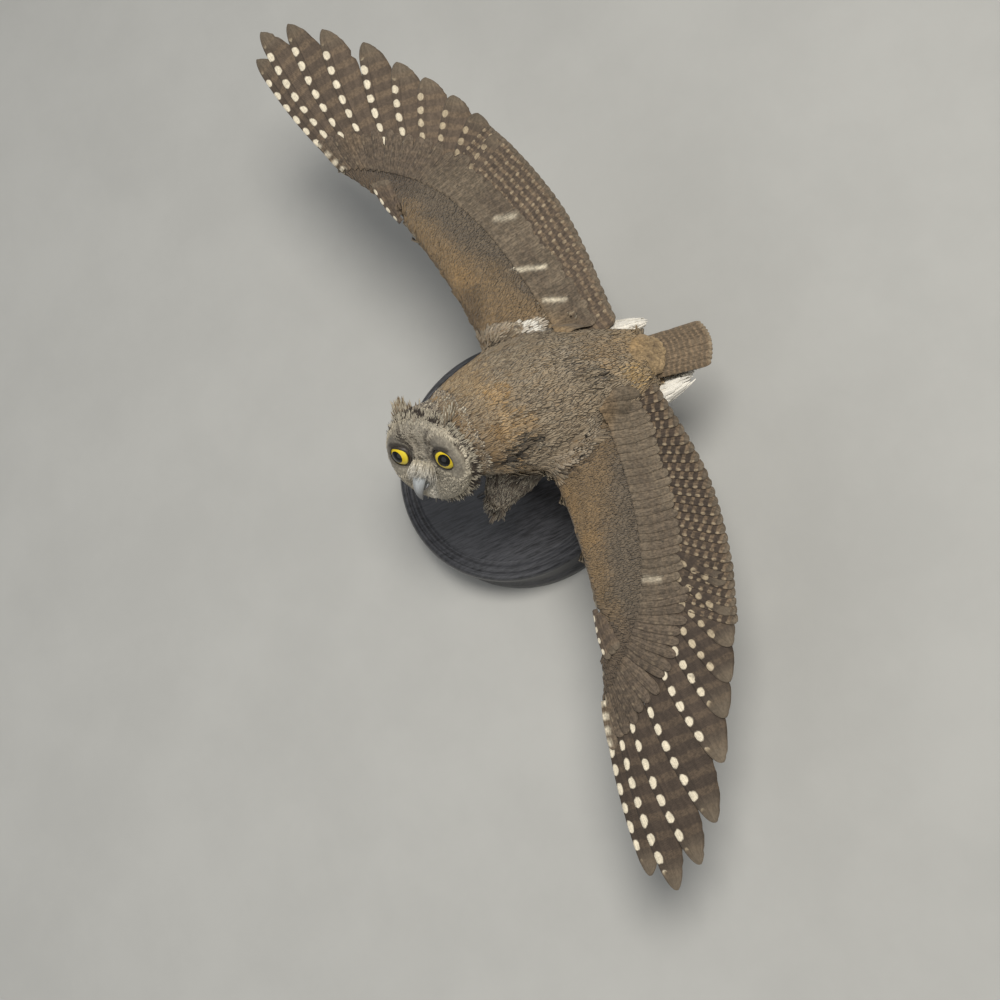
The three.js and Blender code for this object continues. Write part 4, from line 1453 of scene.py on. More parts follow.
        return lobes_shape(flat(centre), flat(up), flat(side), flat(half), flat(ridge),
                           flat(colour), flat(vane), marks, flat(spot))

    def dress(self, name: str, kind: Tuft, slot: str, seed: int,
              where: Rule) -> None:
        """Covers a part of the skin and keeps each piece under the limit of triangles.

        Args:
            name: The piece's name.
            kind: The kind of feather.
            slot: The record's slot.
            seed: Seed of its random numbers.
            where: Returns the share of the kind's spacing, or 0 for none.
        """
        rng = np.random.default_rng(SEED + seed)
        scale = 1.0
        roots = self.skin.scatter(lambda p, n, r: where(p, n, r) * kind.space * scale, rng)
        roots["space"] = roots["space"] / scale
        each = kind.lobes * (kind.rings * 6 - 2)
        parts = max(1, math.ceil(len(roots["point"]) * each / self.LIMIT))
        order = np.argsort(roots["point"][:, 0])
        for i, rows in enumerate(np.array_split(order, parts)):
            piece = f"{name}_{i + 1}" if parts > 1 else name
            part = {key: value[rows] for key, value in roots.items()}
            piece_from_shape(piece, self.feathers(part, kind, rng), self.finish, slot)


def turns_index(rings: int) -> List[int]:
    """Returns which of four stations a lobe of so many rings uses."""
    return [0, 1, 2, 3] if rings == 3 else [0, 2, 3]


# ------------------------------------------------------------------ large feathers


@dataclass(frozen=True)
class Quill:
    """One large feather on a flat sheet: its root, turn, length and the widths of its webs."""

    root: Tuple[float, float]
    turn: float
    length: float
    lead: float
    trail: float
    high: float = 0.0
    tilt: float = 0.5
    narrow: float = 0.45
    bend: float = 0.03
    period: float = 8.0
    first: float = 12.0
    spot: float = 0.0
    bar: float = 0.6
    speckle: float = 0.5
    tint: Tint = Tint.VANE
    painted: bool = False
    dip: float = 0.0
    point: float = 2.0
    tip_tint: Tint = Tint.COVERT
    round_from: float = 0.78
    rows: int = 34


class Vanes:
    """Builds large feathers as thin closed plates with a raised shaft."""

    COLUMNS = np.array([-1.0, -0.72, -0.36, -0.07, 0.07, 0.3, 0.55, 0.8, 1.0])
    THICK = 0.22

    def __init__(self, place: Rule, paint: Optional[Callable[[Array], Array]],
                 rng: Random) -> None:
        """Keeps how the sheet lies on the bird.

        Args:
            place: Turns along, back and height into points of the bird.
            paint: Returns the plumage's colour at points, for painted feathers.
            rng: The random numbers.
        """
        self.place = place
        self.paint = paint
        self.rng = rng

    def feather(self, q: Quill, cell: Tuple[float, float, float, float]) -> Shape:
        """Builds one feather.

        Args:
            q: The feather.
            cell: Its rectangle on the map: left, bottom, width, height.

        Returns:
            The shape.
        """
        split = int(q.rows * 0.66)
        turn = np.sin(np.linspace(0, math.pi / 2, q.rows - split + 1))[1:]
        t = np.concatenate([np.linspace(0, q.round_from, split),
                            q.round_from + (1 - q.round_from) * turn])
        t[-1] = 0.9995
        u = self.COLUMNS
        ahead = np.array([math.cos(q.turn), math.sin(q.turn)])
        aside = np.array([-ahead[1], ahead[0]])
        line = np.array(q.root) + ahead * (t * q.length)[:, None]
        line = line - aside * (np.sin(t * math.pi) * q.length * q.bend)[:, None]
        ending = np.maximum(0, (t - q.round_from) / (1 - q.round_from))
        rounding = np.clip(1 - ending ** q.point, 0, 1) ** (1 / q.point if q.point >= 2 else 0.8)
        taper = np.minimum(1, q.narrow + t) * rounding
        rough = self.rng.uniform(0.955, 1.02, len(t))
        notch = self.rng.integers(int(len(t) * 0.35), len(t) - 4, 2)
        rough[notch] = self.rng.uniform(0.86, 0.93, 2)
        blunt = np.sqrt(np.clip(1 - np.maximum(0, (t - 0.86) / 0.14) ** 2, 0, 1))
        lead = q.lead * np.minimum(1, q.narrow + t) * blunt + 0.12
        trail = (q.trail * taper * rough) + 0.12
        far = np.where(u[None] < 0, u[None] * lead[:, None], u[None] * trail[:, None])
        slant = 0.30 * np.abs(u)[None] * taper[:, None] * q.trail * 0.35
        slant = slant * (1 - rounding[:, None] * 0.5)
        flat = line[:, None] + aside * far[..., None] + ahead * slant[..., None]
        wave = 0.10 * np.sin(t[:, None] * 9 + self.rng.uniform(0, 6)) * u[None]
        sunk = q.dip * (1 - smooth(t, 0.0, 0.3))[:, None]
        high = q.high - q.tilt * u[None] + wave - 0.25 * u[None] ** 2 - sunk
        shaft = np.where(np.abs(u) < 0.1, 0.28, 0.0)[None] * (1 - t[:, None]) ** 0.6
        top = self.place(flat[..., 0], flat[..., 1], high + self.THICK / 2 + shaft)
        under = self.place(flat[..., 0], flat[..., 1], high - self.THICK / 2 - shaft * 0.8)
        from_tip = (1 - t) * q.length
        v = (from_tip - q.first) / q.period + 0.5
        vane = np.stack([np.broadcast_to(u[None], high.shape),
                         np.broadcast_to(v[:, None], high.shape),
                         np.full(high.shape, self.rng.random())], axis=-1)
        tipping = smooth(-from_tip, -q.first * 1.1, -1.0)[:, None, None]
        own = self.rng.uniform(0.86, 1.12)
        ground = self.paint(top.reshape(-1, 3)).reshape(top.shape) if q.painted else q.tint.light
        tip_ground = ground * 1.15 if q.painted else q.tip_tint.light
        colour = (ground * (1 - tipping) + tip_ground * tipping) * own
        # Painted shade and light between neighbouring feathers: the leading web 10% darker, the
        # trailing web 6% lighter.
        web = (1.0 + 0.10 * np.where(u < 0, -1, 0.6))[None, :, None]
        colour = colour * web * np.ones((len(t), len(u), 1))
        shown = smooth(from_tip, q.first * 0.45, q.first * 0.75)
        barred = q.bar * smooth(from_tip, 0.2 * q.first, 0.7 * q.first)
        marks = np.stack([np.broadcast_to((q.spot * shown)[:, None], high.shape),
                          np.broadcast_to(barred[:, None], high.shape),
                          np.full(high.shape, q.speckle)], axis=-1)
        x, y, w, h = cell
        place_u = x + w * (0.03 + 0.45 * (u[None] + 1) / 2) * np.ones((len(t), 1))
        place_v = y + h * (0.03 + 0.94 * t[:, None]) * np.ones((1, len(u)))
        upper = np.stack([place_u, place_v], axis=-1)
        lower = np.stack([place_u + w * 0.49, place_v], axis=-1)
        return self.plate(top, under, colour, vane, marks, upper, lower)

    def plate(self, top: Array, under: Array, colour: Array, vane: Array, marks: Array,
              upper: Array, lower: Array) -> Shape:
        """Closes two grids into one thin plate."""
        rows, cols = top.shape[:2]
        index = np.arange(rows * cols).reshape(rows, cols)
        a, b, c, d = index[:-1, :-1], index[1:, :-1], index[1:, 1:], index[:-1, 1:]
        face = np.stack([a, b, c, d], axis=-1).reshape(-1, 4)
        deep = rows * cols
        rim = np.concatenate([index[:, 0], index[-1, 1:], index[-2::-1, -1], index[0, -2:0:-1]])
        after = np.roll(rim, -1)
        sides = np.stack([rim, rim + deep, after + deep, after], axis=-1)
        quads = np.concatenate([face, face[:, ::-1] + deep, sides])
        mid = top[rows // 2, cols // 2]
        normal = np.cross(top[rows // 2 + 1, cols // 2] - mid, top[rows // 2, cols // 2 + 1] - mid)
        if np.dot(normal, mid - under[rows // 2, cols // 2]) < 0:
            quads = quads[:, ::-1]

        def both(values: Array) -> Array:
            """Repeats a value for the underside."""
            flat = values.reshape(-1, values.shape[-1])
            return np.concatenate([flat, flat])

        return Shape(np.concatenate([top.reshape(-1, 3), under.reshape(-1, 3)]), quads,
                     np.zeros((0, 3), int), both(colour), both(vane), both(marks),
                     np.concatenate([upper.reshape(-1, 2), lower.reshape(-1, 2)]))

    def feathers(self, quills: Sequence[Quill]) -> Shape:
        """Builds a row of feathers with one rectangle of the map for each."""
        across = math.ceil(math.sqrt(len(quills)))
        down = math.ceil(len(quills) / across)
        shapes = []
        for i, q in enumerate(quills):
            cell = ((i % across) / across, (i // across) / down, 1 / across, 1 / down)
            shapes.append(self.feather(q, cell))
        return Shape.joined(shapes)


class Wing:
    """A wing's large feathers: flight feathers, coverts and alula, above and below."""

    TOP_DEPTH = staticmethod(through([(-14, 11), (0, 10.5), (30, 8), (60, 6.5), (88, 5), (120, 2.6),
                                      (138, 1.1)]))
    UNDER_DEPTH = staticmethod(through([(-14, 8), (0, 7), (30, 5), (60, 4.2), (88, 3.4), (120, 1.8),
                                        (138, 0.8)]))
    REACH = staticmethod(through([(1, 61), (2, 58), (3, 57.5), (4, 61.5), (5, 69.5), (6, 85),
                                  (7, 103), (8, 119), (9, 128.5), (10, 120)]))
    TURN = staticmethod(through([(1, 103), (2, 87), (3, 70), (4, 52), (5, 37), (6, 24), (7, 12),
                                 (8, 4), (9, -3), (10, -8.8)]))
    FAN_CENTRE = np.array([105.0, 5.0])
    GRID = 2.0
    PROBE = 12.0
    ROOT_BEHIND = 9.0
    ROOT = staticmethod(through([(1, 92.5), (5, 113), (10, 134.5)]))
    PERIOD = staticmethod(through([(1, 6.4), (4, 7.4), (5, 8.0), (8, 9.6), (10, 9.6)]))

    def __init__(self, plan: WingPlan, marks: Markings, finish: Material, tree: BVHTree) -> None:
        """Keeps the wing's plan, the markings, the finish and the skin's search tree."""
        self.tree = tree
        self.plan = plan
        self.marks = marks
        self.region = np.array([plan.region.value])
        # The left wing's flight feathers take a darker tint than the right's: painted shade.
        self.vane_tint = Tint.SHADED_VANE if plan.side > 0 else Tint.VANE
        self.finish = finish
        self.rng = np.random.default_rng(SEED + 40 + plan.side)

    def surface(self, along: Array, back: Array, under: bool) -> Array:
        """Returns the height of the arm's flesh above or below the wing's sheet."""
        lead, covert = LEAD_EDGE(along), COVERT_EDGE(along)
        share = np.clip((back - lead) / np.maximum(covert - lead, 1.0), 0, 1)
        depth = (self.UNDER_DEPTH if under else self.TOP_DEPTH)(along)
        live = smooth(138.5 - along, 0.0, 6.0)
        return (depth * np.sqrt(share) * (1 - share) * 2.4 + 0.6 * np.minimum(1, 4 * share)) * live

    def relief(self, under: bool) -> Callable[[Array, Array], Array]:
        """Measures how far the skin stands past the wing's sheet, for vanes to lie over it."""
        alongs, backs = np.arange(-24.0, 142.0, self.GRID), np.arange(-24.0, 74.0, self.GRID)
        grid = np.meshgrid(alongs, backs, indexing="ij")
        sheet = self.plan.bend(grid[0], grid[1], 0.0)
        sign = -1.0 if under else 1.0
        high = np.zeros(grid[0].shape)
        for i, j in np.ndindex(*high.shape):
            start = Vector(sheet[i, j]) + Vector((0.0, 0.0, sign * self.PROBE))
            hit = self.tree.ray_cast(start, Vector((0.0, 0.0, -sign)), self.PROBE)[3]
            high[i, j] = self.PROBE - hit if hit else 0.0
        ringed = np.pad(high, 1, mode="edge")
        rows, cols = high.shape
        high = np.max([ringed[a:a + rows, b:b + cols] for a in range(3) for b in range(3)], axis=0)

        def value(along: Array, back: Array) -> Array:
            """Reads the grid between its points."""
            x = np.clip((along - alongs[0]) / self.GRID, 0, rows - 1.001)
            y = np.clip((back - backs[0]) / self.GRID, 0, cols - 1.001)
            i, j = x.astype(int), y.astype(int)
            fx, fy = x - i, y - j
            near = high[i, j] * (1 - fy) + high[i, j + 1] * fy
            return near * (1 - fx) + (high[i + 1, j] * (1 - fy) + high[i + 1, j + 1] * fy) * fx

        return value

    def primaries(self) -> List[Quill]:
        """Returns the ten primaries, the outermost first."""
        quills = []
        for i in range(10, 0, -1):
            s = float(self.ROOT(i)) - self.plan.slant * float(smooth(8.5 - i, 0.0, 5.0))
            root = np.array([s, float(COVERT_EDGE(s)) - self.ROOT_BEHIND])
            turn = math.radians(float(self.TURN(i)))
            closed = self.plan.side > 0 and i <= 7
            reach = float(self.REACH(i)) * (0.945 if closed and i < 7 else 1.0)
            line = self.FAN_CENTRE + reach * np.array([math.cos(turn), math.sin(turn)]) - root
            quills.append(Quill(
                root=(float(root[0]), float(root[1])), turn=math.atan2(line[1], line[0]),
                length=float(np.hypot(*line)), lead=3.0 if i == 10 else 4.0,
                trail=16.5 if closed else 12.8,
                tint=self.vane_tint,
                narrow=1.0 if i == 10 else 0.45, period=float(self.PERIOD(i)),
                point=1.6 if closed else 1.8,
                round_from=0.60 if closed else 0.68,
                first=17.0 if i > 4 else 11.0, spot=float(np.interp(i, [1, 4, 6], [0.4, 0.6, 1.0])),
                bar=0.22 if self.plan.side > 0 else 0.4, tilt=0.55,
                high=-0.05 * (i - 5), rows=44, dip=1.0,
            ))
        return quills

    def secondaries(self) -> List[Quill]:
        """Returns the secondaries and tertials, outermost first, slanted to the wing's tip."""
        quills = []
        for s in np.linspace(86.0, -20.0, 27):
            lean = float(np.interp(s, [-20, 15, 60, 86], [0.5, 6.0, 11.0, 12.0]))
            lean = lean * self.plan.slant / WINGS["right"].slant
            root_c = float(COVERT_EDGE(s)) - self.ROOT_BEHIND
            tip_s = s + lean
            tip_c = float(TRAIL_EDGE(min(tip_s, 86.0))) + 0.9 - 0.16 * max(0.0, tip_s - 86.0)
            quills.append(Quill(
                root=(float(s), root_c), turn=math.atan2(tip_c - root_c, lean),
                length=math.hypot(tip_c - root_c, lean),
                lead=2.1, trail=6.6, period=4.4, first=3.6, spot=0.27, bar=0.62, tilt=0.62,
                narrow=0.7,
                bend=0.02, rows=24, round_from=0.80, speckle=0.9, dip=0.9,
                tint=self.vane_tint,
            ))
        return quills

    def turn_at(self, s: float) -> float:
        """Returns the turn of a covert from the wing's length, in radians."""
        if s < 88:
            return math.radians(93 - 4 * s / 88)
        order = np.interp(s, [92.5, 113, 134.5], [1, 5, 10])
        turn = math.radians(float(self.TURN(order)))
        tip = self.FAN_CENTRE + float(self.REACH(order)) * np.array([math.cos(turn),
                                                                     math.sin(turn)])
        return math.atan2(tip[1] - float(COVERT_EDGE(s)) + 8.0, tip[0] - s)

    def covert_row(self, count: int, span: Tuple[float, float], back: float, length: float,
                   lead: float, trail: float, **values: object) -> List[Quill]:
        """Returns a row of coverts that start a distance in front of the covert edge.

        Args:
            count: Number of feathers.
            span: First and last place along the wing.
            back: How far in front of the covert edge they start.
            length: Their length.
            lead: Width of the outer web.
            trail: Width of the inner web.
            values: Other fields of the feather.

        Returns:
            The row, the outermost first.
        """
        quills = []
        for s in np.linspace(span[1], span[0], count):
            c = max(float(COVERT_EDGE(s)) - back, float(LEAD_EDGE(s)) + 1.5)
            vary = self.rng.uniform(0.94, 1.06)
            turn = self.turn_at(float(s)) + self.rng.normal(0, 0.03)
            quills.append(Quill(root=(float(s), c), turn=turn, length=length * vary, lead=lead,
                                trail=trail, painted=True, **values))
        return quills

    def build_row(self, name: str, quills: List[Quill], over: float, under: bool = False,
                  nodes: Sequence[str] = ()) -> None:
        """Builds one row above or below the wing as a piece."""
        sign = -1.0 if under else 1.0

        def place(along: Array, back: Array, high: Array) -> Array:
            """Lays the sheet over the arm's flesh."""
            if over == 0.0:
                return self.plan.bend(along, back, high)
            rise = np.maximum(self.surface(along, back, under) * 0.80 + over,
                              relief(along, back) + over + 0.25)
            return self.plan.bend(along, back, sign * rise + high)

        def paint(p: Array) -> Array:
            """Returns the wing's colours at points."""
            return self.marks.ground(p, np.tile([0.0, 0.0, sign], (len(p), 1)),
                                     np.repeat(self.region, len(p)))

        relief = self.relief(under) if over > 0.0 else None
        shape = Vanes(place, paint, self.rng).feathers(quills)
        slot = "dark_vane" if over == 0.0 else "brown_plumage"
        piece_from_shape(f"wing_{self.plan.name}_{name}", shape, self.finish, slot, *nodes)

    def build(self) -> None:
        """Builds every row of the wing."""
        side = self.plan.name
        primary_nodes = [f"wing_{side}_primary_{i}" for i in range(1, 11)]
        rear_nodes = [f"wing_{side}_secondaries", f"wing_{side}_tertials"]
        self.build_row("primary_vanes", self.primaries(), 0.0, nodes=primary_nodes)
        self.build_row("secondary_vanes", self.secondaries(), 0.0, nodes=rear_nodes)
        soft = dict(bar=0.15, speckle=1.0, rows=16, round_from=0.62, narrow=0.7, bend=0.02)
        row = self.covert_row(24, (-16, 87), 11.0, 20.0, 2.0, 4.6, period=4.2, first=3.5,
                              tilt=0.35, **soft)
        self.build_row("greater_coverts", row, 0.45)
        row = self.covert_row(16, (90, 134), 11.0, 24.0, 2.0, 4.0, period=5.0, first=5.0,
                              spot=0.12, tilt=0.35, **soft)
        self.build_row("primary_coverts", row, 0.45)
        self.build_row("alula_vanes", [
            Quill(root=(88.0 + 2.5 * i, float(LEAD_EDGE(90.0)) + 1.5 + 1.6 * i),
                  turn=math.radians(3 + 5 * i),
                  length=27.0 - 4 * i, lead=1.6, trail=3.2, period=6.0, first=5.0,
                  spot=0.9 if i == 0 else 0.0, bar=0.3,
                  rows=20, narrow=0.6, high=0.3 - 0.2 * i, speckle=0.8)
            for i in range(3)
        ], 0.5, nodes=[f"wing_{side}_alula"])
        row = self.covert_row(15, (-14, 87), 12.0, 20.0, 3.2, 5.2, tilt=0.3, **soft)
        self.build_row("under_greater_coverts", row, 0.8, under=True)
        row = self.covert_row(12, (90, 134), 12.0, 22.0, 2.6, 4.4, tilt=0.3, **soft)
        self.build_row("under_primary_coverts", row, 0.8, under=True)


def axes_along(start: Array, end: Array) -> Tuple[float, Array, Array, Array]:
    """Returns the length from start to end, the way there, and the ways aside and up."""
    ahead = unit(end - start)
    side = unit(np.cross(ahead, [0.0, 0.0, 1.0]))
    return float(np.linalg.norm(end - start)), ahead, side, np.cross(side, ahead)


def across_at(i: int, count: int) -> float:
    """Returns the place of one of count things that are spread from -1 to 1."""
    return (i + 0.5) / count * 2 - 1


@dataclass
class Tail:
    """Twelve tail feathers, the middle pair on top."""

    start: Array = field(default_factory=lambda: np.array([9.4, 103.0, 99.4]))
    end: Array = field(default_factory=lambda: np.array([14.5, 139.0, 94.0]))
    half: float = 13.5
    ridge: float = 2.6
    count: int = 12
    plume_rows: int = 5
    plume_count: int = 9

    def build(self, marks: Markings, finish: Material) -> None:
        """Builds the tail's feathers and the coverts over its root."""
        length, ahead, side, up = axes_along(self.start, self.end)
        rng = np.random.default_rng(SEED + 60)

        def place(along: Array, back: Array, high: Array) -> Array:
            """Lays the sheet on the tail: along runs to the tip, back across it."""
            drop = self.ridge * (back / self.half) ** 2
            flat = self.start + along[..., None] * ahead - back[..., None] * side
            return flat + (high - drop)[..., None] * up

        quills = []
        for i in range(self.count):
            across = across_at(i, self.count)
            outward = 1.0 if across > 0 else -1.0
            reach = length * (1 - 0.10 * across ** 2) + 0.5
            quills.append(Quill(
                root=(0.0, across * self.half * 0.82), turn=across * 0.035, length=reach,
                lead=1.7 if outward < 0 else 3.0, trail=3.0 if outward < 0 else 1.7,
                high=0.55 - 1.3 * abs(across),
                tilt=0.30 * outward, narrow=0.9, bend=0.0, period=2.9, first=2.2, bar=0.95,
                speckle=0.8,
                tint=Tint.TAIL, tip_tint=Tint.BACK, round_from=0.86, rows=26,
            ))
        shape = Vanes(place, None, rng).feathers(quills)
        piece_from_shape("tail_vanes", shape, finish, "tawny_plumage", "tail")

        def over_rump(along: Array, back: Array, high: Array) -> Array:
            """Lays the sheet from the rump's top down to the tail."""
            dome = 8.6 * (1
                          - smooth(along, -3.0, 14.0)) * np.sqrt(np.clip(1 - (back / 17.0) ** 2,
                                                                         0.02, 1))
            return place(along, back, high + dome + 0.9)

        coverts = []
        for row, (start, reach, count,
                  wide) in enumerate(((-2.0, 15.0, 11, 11.0), (-5.0, 14.0, 12, 12.0),
                                                           (-8.0, 14.0, 12, 12.5),
                                      (-12.0, 14.0, 11, 12.5))):
            for i in range(count):
                across = across_at(i, count) + rng.normal(0, 0.03)
                coverts.append(Quill(
                    root=(start - 2.0 * across ** 2, across * wide),
                    turn=-across * 0.16 + rng.normal(0, 0.04),
                    length=reach * rng.uniform(0.9, 1.1) * (1 - 0.12 * across ** 2), lead=2.6,
                    trail=2.6,
                    high=0.35 * row - 0.5 * abs(across), tilt=0.25 * (1.0 if across > 0 else -1.0),
                    narrow=0.8,
                    bend=0.0, period=3.2, first=3.0, bar=0.25, speckle=0.9, round_from=0.6, rows=14,
                    painted=True,
                ))

        def paint(p: Array) -> Array:
            """Returns the rump's colours at points."""
            return marks.ground(p, np.tile([0.0, 0.0, 1.0], (len(p), 1)),
                                np.full(len(p), Region.RUMP.value))

        shape = Vanes(over_rump, paint, rng).feathers(coverts)
        piece_from_shape("tail_coverts", shape, finish, "tawny_plumage")
        for name, axis in PLUMES.items():
            self.plume(name, np.array(axis[0]), np.array(axis[1]), axis[2], finish, rng)

    def plume(self, name: str, start: Array, end: Array, radius: float, finish: Material,
              rng: Random) -> None:
        """Builds one soft white flank plume of long vanes laid round its axis."""
        length, ahead, side, up = axes_along(start, end)

        def place(along: Array, back: Array, high: Array) -> Array:
            """Wraps the sheet round the plume, which thins towards its end."""
            thin = radius * np.sqrt(np.clip(1.02 - (along / length) ** 2 * 0.9, 0.05, 1))
            turn = back / radius
            out = np.sin(turn)[..., None] * -side + np.cos(turn)[..., None] * up
            return start + along[..., None] * ahead + out * (thin + high)[..., None]

        quills = []
        for row in range(self.plume_rows):
            for i in range(self.plume_count):
                across = across_at(i, self.plume_count) + rng.normal(0, 0.06)
                begin = length * (0.60 - 0.16 * row) + rng.normal(0, 0.6)
                quills.append(Quill(
                    root=(begin, across * radius * 2.0), turn=-across * 0.10 + rng.normal(0, 0.06),
                    length=length * rng.uniform(0.34, 0.46), lead=1.7, trail=1.7, high=0.28 * row,
                    tilt=0.2,
                    narrow=0.5, bend=0.04 * rng.normal(), bar=0.0, speckle=0.25, point=1.5,
                    round_from=0.45, rows=12,
                    tint=Tint.CREAM if row > 2 else Tint.WHITE, tip_tint=Tint.WHITE,
                ))
        piece_from_shape(f"flank_plume_{name}_vanes", Vanes(place, None, rng).feathers(quills),
                         finish, "pale_plumage")


# ------------------------------------------------------------------ head, legs, base


class HeadDress:
    """Eyes, lids, bill, ear tufts, bristles, lid feathers and the face's ruff."""

    BILL = [(9.5, 0, -1.5, 3.2, 2.9), (14.0, 0, -2.4, 3.9, 3.3), (17.5, 0, -4.2, 4.1, 3.3),
            (20.2, 0, -6.2, 3.9, 3.1), (22.2, 0, -8.8, 3.2, 2.7), (23.4, 0, -11.4, 2.5, 2.1),
            (23.7, 0, -14.0, 1.7, 1.4), (23.0, 0, -17.0, 0.4, 0.4)]
    LOWER = [(10.0, 0, -8.8, 2.8, 1.5), (14.0, 0, -10.6, 2.6, 1.3), (17.4, 0, -12.0, 2.0, 1.0),
             (20.0, 0, -13.3, 0.6, 0.4)]
    TUFT_ROOT, TUFT_TIP = (0.0, 15.0, 17.0), (2.5, 18.5, 31.0)
    LID_STEPS = 72
    LASH_RADIUS = 7.65
    TUFT_COUNT, BRISTLE_COUNT, LASH_COUNT, RUFF_COUNT = 210, 900, 1100, 1500

    def __init__(self, head: Head, skin: Skin) -> None:
        """Keeps the head's frame and the skin."""
        self.head = head
        self.skin = skin

    def eye(self, side: int, finish: Material) -> None:
        """Builds one eyeball as a fine sphere about its gaze."""
        name = SIDES[side]
        gaze = self.head.gaze(side)
        bm = bmesh.new()
        bmesh.ops.create_uvsphere(bm, u_segments=64, v_segments=48, radius=1.0)
        up = unit(np.cross(gaze, [0.0, 1.0, 0.0]))
        axes = np.column_stack([np.cross(up, gaze), up, gaze])
        polar, turn = [], []
        for v in bm.verts:
            co = np.array(v.co)
            polar.append(math.degrees(math.acos(max(-1.0, min(1.0, co[2])))))
            turn.append(math.atan2(co[1], co[0]))
            bulge = 1.0 + 0.03 * math.exp(-(polar[-1] / 26.0) ** 2)
            local = self.head.eye_at(side) + axes @ co * self.head.eye_radius * bulge
            v.co = Vector(self.head.out(local) * MM)
        mesh = mesh_of(bm, f"eye_{name}_ball")
        vector_layer(mesh, "iris", np.column_stack([polar, turn, np.zeros(len(polar))]))
        piece_from_mesh(f"eye_{name}_ball", mesh, finish, "eye_glass", f"eye_{name}")

    def lids(self, side: int, finish: Material) -> None:
        """Builds the lids as a shell around the eyeball with a rounded edge."""
        name = SIDES[side]
        gaze = self.head.socket(side)
        up = self.head.lid_up(side)
        across = np.cross(up, gaze)
        radius = self.head.eye_radius
        bm = bmesh.new()
        rows = []
        for j in range(self.LID_STEPS):
            phi = 2 * math.pi * j / self.LID_STEPS
            upper = max(0.0, math.sin(phi))
            opening = 57.5 - 17.0 * upper ** 1.4
            profile = [(opening + 1.6, radius - 0.5), (opening, radius + 0.05),
                       (opening + 0.8, radius + 0.42),
                       (opening + 4.0, radius + 0.62), (opening + 9.0, radius + 0.45),
                       (opening + 16, radius + 0.55),
                       (opening + 30, radius + 0.20), (opening + 46, radius - 0.6)]
            ring = []
            for theta, far in profile:
                t = math.radians(theta)
                way = gaze * math.cos(t) + (across * math.cos(phi) + up
                                            * math.sin(phi)) * math.sin(t)
                ring.append(bm.verts.new(Vector(self.head.out(self.head.eye_at(side) + way * far)
                                                * MM)))
            rows.append(ring)
        for j, ring in enumerate(rows):
            after = rows[(j + 1) % len(rows)]
            for k in range(len(ring)):
                m = (k + 1) % len(ring)
                bm.faces.new([ring[k], after[k], after[m], ring[m]])
        bm_piece(f"lids_{name}", bm, finish, "bill_horn")

    def ruff(self, finish: Material) -> None:
        """Builds the ruff of pale feathers with dark spots around the face, longest at the chin."""
        rng = np.random.default_rng(SEED + 90)
        n = self.RUFF_COUNT
        turn = rng.uniform(0, 2 * math.pi, n)
        side, rise = np.cos(turn), np.sin(turn)
        low = np.clip(-rise, 0, 1)
        far = rng.uniform(0.90, 1.0, n)
        start = np.stack([8.6 - 4.5 * (far - 0.9) * 10 + rng.normal(0, 0.3, n), side * 27.2 * far,
                          rise * 25.2 * far - 1.0], axis=1)
        way = unit(np.stack([rng.uniform(-0.75, -0.2, n) + 0.55 * low, side, rise], axis=1)
                   + rng.normal(0, 0.09, (n, 3)))
        up = unit(np.stack([np.ones(n), side * 0.5, rise * 0.5], axis=1))
        length = rng.uniform(2.6, 4.2, n) * (1 + 0.5 * low ** 2)
        dark = (mottle(start, 2.3, 21)[:, None] + rng.normal(0, 0.14, (n, 1)) > 0.2)
        ground = np.where(dark | (rng.random((n, 1)) < 0.2), Tint.DARK.light, Tint.DISC.light)
        tips = np.where(dark, Tint.STREAK.light, Tint.PALE.light * 0.85)
        colour = np.stack([ground, tips], axis=1)
        shape = self.strands(start, way, up, length, rng.uniform(0.22, 0.42, n), colour, -0.12, rng)
        piece_from_shape("face_ruff", shape, finish, "grey_plumage")

    def lashes(self, finish: Material) -> None:
        """Builds the small feathers on the lids, darker above and at the inner corner: painted
        shade under the brow.
        """
        rng = np.random.default_rng(SEED + 85)
        parts = []
        for side in (1, -1):
            n = self.LASH_COUNT
            gaze = self.head.socket(side)
            up = self.head.lid_up(side)
            across = np.array([0.0, 1.0, 0.0]) * side
            phi = rng.uniform(0, 2 * math.pi, n)
            theta = np.radians(63.0 - 15.0 * np.sin(phi).clip(0, 1) ** 1.4
                               + rng.uniform(0, 1, n) ** 0.8 * 22)
            ring = across * np.cos(phi)[:, None] + up * np.sin(phi)[:, None]
            start = self.head.eye_at(side) + (gaze * np.cos(theta)[:, None] + ring
                                              * np.sin(theta)[:, None]) * self.LASH_RADIUS
            way = unit(ring * np.cos(theta)[:, None] * 1.5 - gaze * np.sin(theta)[:, None] * 0.75
                       + rng.normal(0, 0.1, (n, 3)))
            lift = unit(gaze * np.cos(theta)[:, None] + ring * np.sin(theta)[:, None])
            # Painted shade under the brow: the lid feathers are darker above the eye and at its
            # inner corner.
            dark = smooth(np.sin(phi - 0.5), 0.0, 0.5) * 0.9 + 0.15
            dark = np.clip(dark * rng.uniform(0.6, 1.3, n), 0, 1)[:, None]
            tone = Tint.DISC.light * (1 - dark) + Tint.STREAK.light * 0.7 * dark
            tips = Tint.DISC.light * (1 - dark * 0.8) + Tint.STREAK.light * dark * 0.8
            parts.append(self.strands(start, way, lift,
                                      rng.uniform(1.6, 2.9, n) * (1 + 0.5 * dark[:, 0]),
                                      rng.uniform(0.16, 0.28, n), np.stack([tone, tips], axis=1),
                                      0.05, rng))
        piece_from_shape("lid_feathers", Shape.joined(parts), finish, "grey_plumage")

